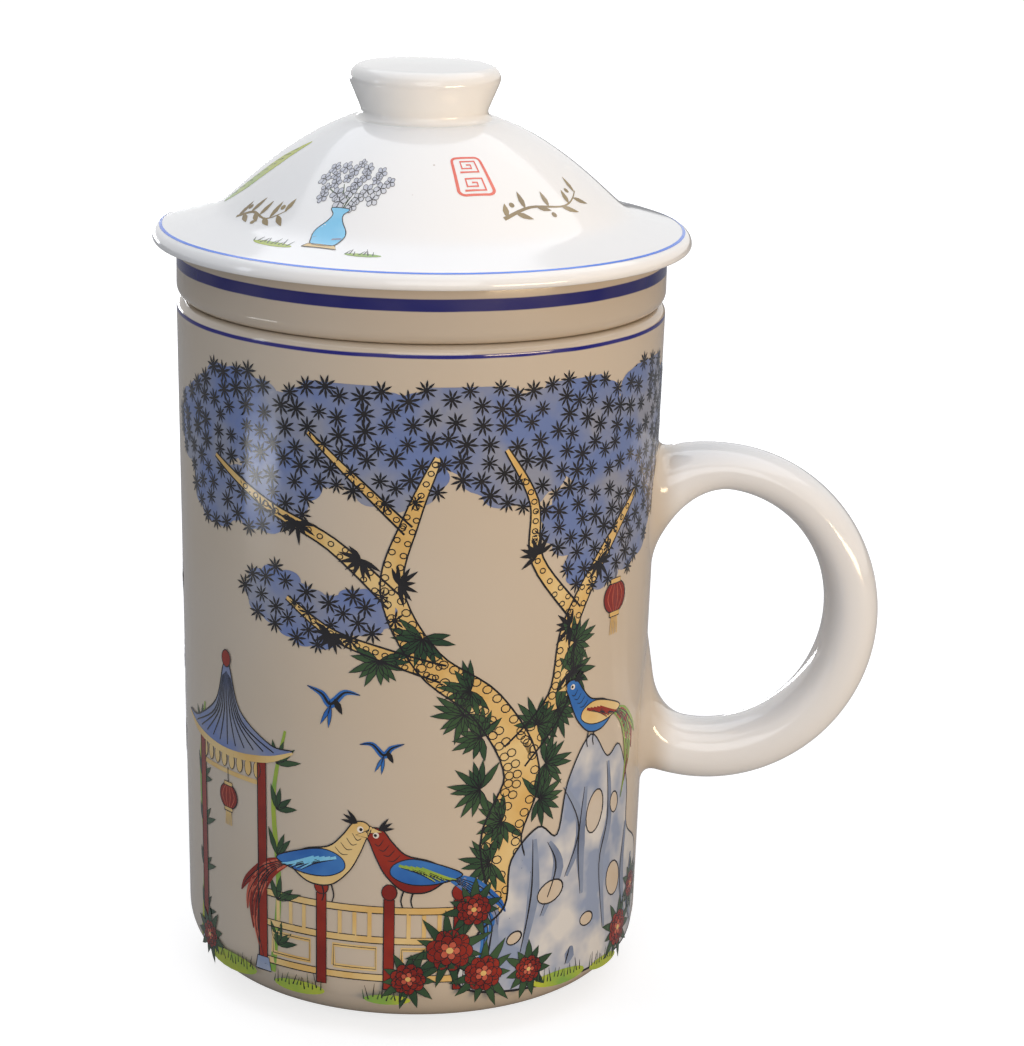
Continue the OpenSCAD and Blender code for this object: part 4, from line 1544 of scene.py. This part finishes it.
def lay_tree():
    tree, given = new_tree("lay_from_above", Surface="Object", Lift="Float", Paint="Material")
    here = add(tree, "GeometryNodeInputPosition")
    flat = add(tree, "ShaderNodeSeparateXYZ", {0: here}).outputs
    start = add(tree, "ShaderNodeCombineXYZ", {"X": flat["X"], "Y": flat["Y"], "Z": RAY_START})
    under = add(tree, "GeometryNodeObjectInfo", {"Object": given["Surface"]})
    ray = add(tree, "GeometryNodeRaycast", {
        "Target Geometry": under.outputs["Geometry"], "Source Position": start,
        "Ray Direction": (0, 0, -1), "Ray Length": 1.0}, data_type="FLOAT")
    proud = calc(tree, "ADD", flat["Z"], given["Lift"])
    push = add(tree, "ShaderNodeVectorMath", {0: ray.outputs["Hit Normal"], "Scale": proud},
               operation="SCALE")
    spot = add(tree, "ShaderNodeVectorMath", {0: ray.outputs["Hit Position"], 1: push}, operation="ADD")
    placed = add(tree, "GeometryNodeSetPosition", {"Geometry": given["Geometry"], "Position": spot})
    end_tree(tree, placed, given["Paint"])
    return tree


LAY = lay_tree()
for paint, marks in lid_art.items():
    film = run_tree("lid_" + paint, flat_sheet(paint, marks, both_ways=True), LAY, Surface=lid,
                    Lift=FILM * MM, Paint=fired[paint])
    hand_over(film, "lid", "lid_glaze")

# %% [markdown]
# ## Room and light
# A pale table that whitens away from the mug, and soft light at a plain level. A broad lamp overhead
# whitens the lid and the top of the handle, and one in front keeps the wall readable. A low warm
# strip on the right front draws the highlights on band and handle, a narrow one on the left is the
# window, a low one behind gives the far edges a rim of light, and a small one glints near the foot.
# The surroundings are white to the camera and in reflections, and dim for the light they give.

# %% The table
SHADOW_REACH = (0.10, 0.40)      # the table whitens from the first distance to the second, in metres
TABLE_WHITE = (0.74, 1.0)        # by this much, to the camera only
TABLE_GREY = "#B4B4B4"   # and this is what it gives back of the lamps' light
TABLE_HALF = 6.0         # half its side, in metres


def table_top():
    mesh = bpy.data.meshes.new("table_top")
    corners = block(-TABLE_HALF, -TABLE_HALF, TABLE_HALF, TABLE_HALF)
    mesh.from_pydata([(x, y, 0) for x, y in corners], [], [(0, 1, 2, 3)])
    piece = new_object("table_top", mesh)
    material = bpy.data.materials.new("white_table_laminate")
    material.use_nodes = True
    tree = material.node_tree
    tree.nodes.clear()
    path = add(tree, "ShaderNodeLightPath")
    place = add(tree, "ShaderNodeTexCoord").outputs["Object"]
    away = add(tree, "ShaderNodeVectorMath", {0: place}, operation="LENGTH").outputs["Value"]
    fade = map_range(tree, away, *SHADOW_REACH, *TABLE_WHITE)
    plain = add(tree, "ShaderNodeBsdfDiffuse", {"Color": colour(TABLE_GREY)})
    lift = add(tree, "ShaderNodeEmission", {"Color": colour("#FFFFFF"), "Strength": fade})
    both = add(tree, "ShaderNodeAddShader", {0: plain, 1: lift})
    seen = add(tree, "ShaderNodeMixShader", {0: path.outputs["Is Camera Ray"], 1: plain, 2: both})
    add(tree, "ShaderNodeOutputMaterial", {"Surface": seen})
    mesh.materials.append(material)
    print(f"table {2 * TABLE_HALF:.0f} m wide, white from {SHADOW_REACH[1]} m on")


table_top()

# %% Lamps and world
AIM = Vector((0.01, 0, 0.08))    # every lamp points at the middle of the mug
ROOM_LIGHT = 0.12        # what the surroundings give besides the lamps


def lamp(name, place, size, power, code):
    data = bpy.data.lights.new(name, "AREA")
    data.shape = "RECTANGLE"
    data.size, data.size_y = size
    data.energy = power
    data.color = colour(code)[:3]
    light = new_object(name, data)
    light.location = place
    light.rotation_euler = (AIM - Vector(place)).to_track_quat("-Z", "Y").to_euler()


def surroundings():
    world = bpy.data.worlds.new("studio")
    bpy.context.scene.world = world
    world.use_nodes = True
    tree = world.node_tree
    tree.nodes.clear()
    path = add(tree, "ShaderNodeLightPath")
    direct = calc(tree, "MAXIMUM", path.outputs["Is Camera Ray"], path.outputs["Is Transmission Ray"])
    seen = calc(tree, "MAXIMUM", direct, path.outputs["Is Glossy Ray"])
    dim = add(tree, "ShaderNodeBackground", {"Color": colour("#DFE7F8"), "Strength": ROOM_LIGHT})
    white = add(tree, "ShaderNodeBackground", {"Color": colour("#FFFFFF"), "Strength": 1.0})
    both = add(tree, "ShaderNodeMixShader", {0: seen, 1: dim, 2: white})
    add(tree, "ShaderNodeOutputWorld", {"Surface": both})


surroundings()
lamp("overhead", (0.05, 0.10, 0.95), (1.5, 1.5), 9.1, "#FAFBFF")
lamp("window", (-0.75, -0.16, 0.26), (0.10, 0.34), 0.35, "#EEF3FF")
lamp("table_glint", (-0.31, -0.079, 0.014), (0.10, 0.016), 0.035, "#FFFFFF")
lamp("warm_front", (0.75, -0.75, 0.07), (0.60, 0.12), 5.0, "#FFDFB4")
lamp("behind", (-0.30, 1.10, 0.06), (0.80, 0.10), 3.0, "#FAFBFF")
lamp("front", (0.10, -1.15, 0.55), (0.80, 0.80), 4.5, "#F6F9FF")
bpy.context.scene.view_settings.view_transform = "Standard"
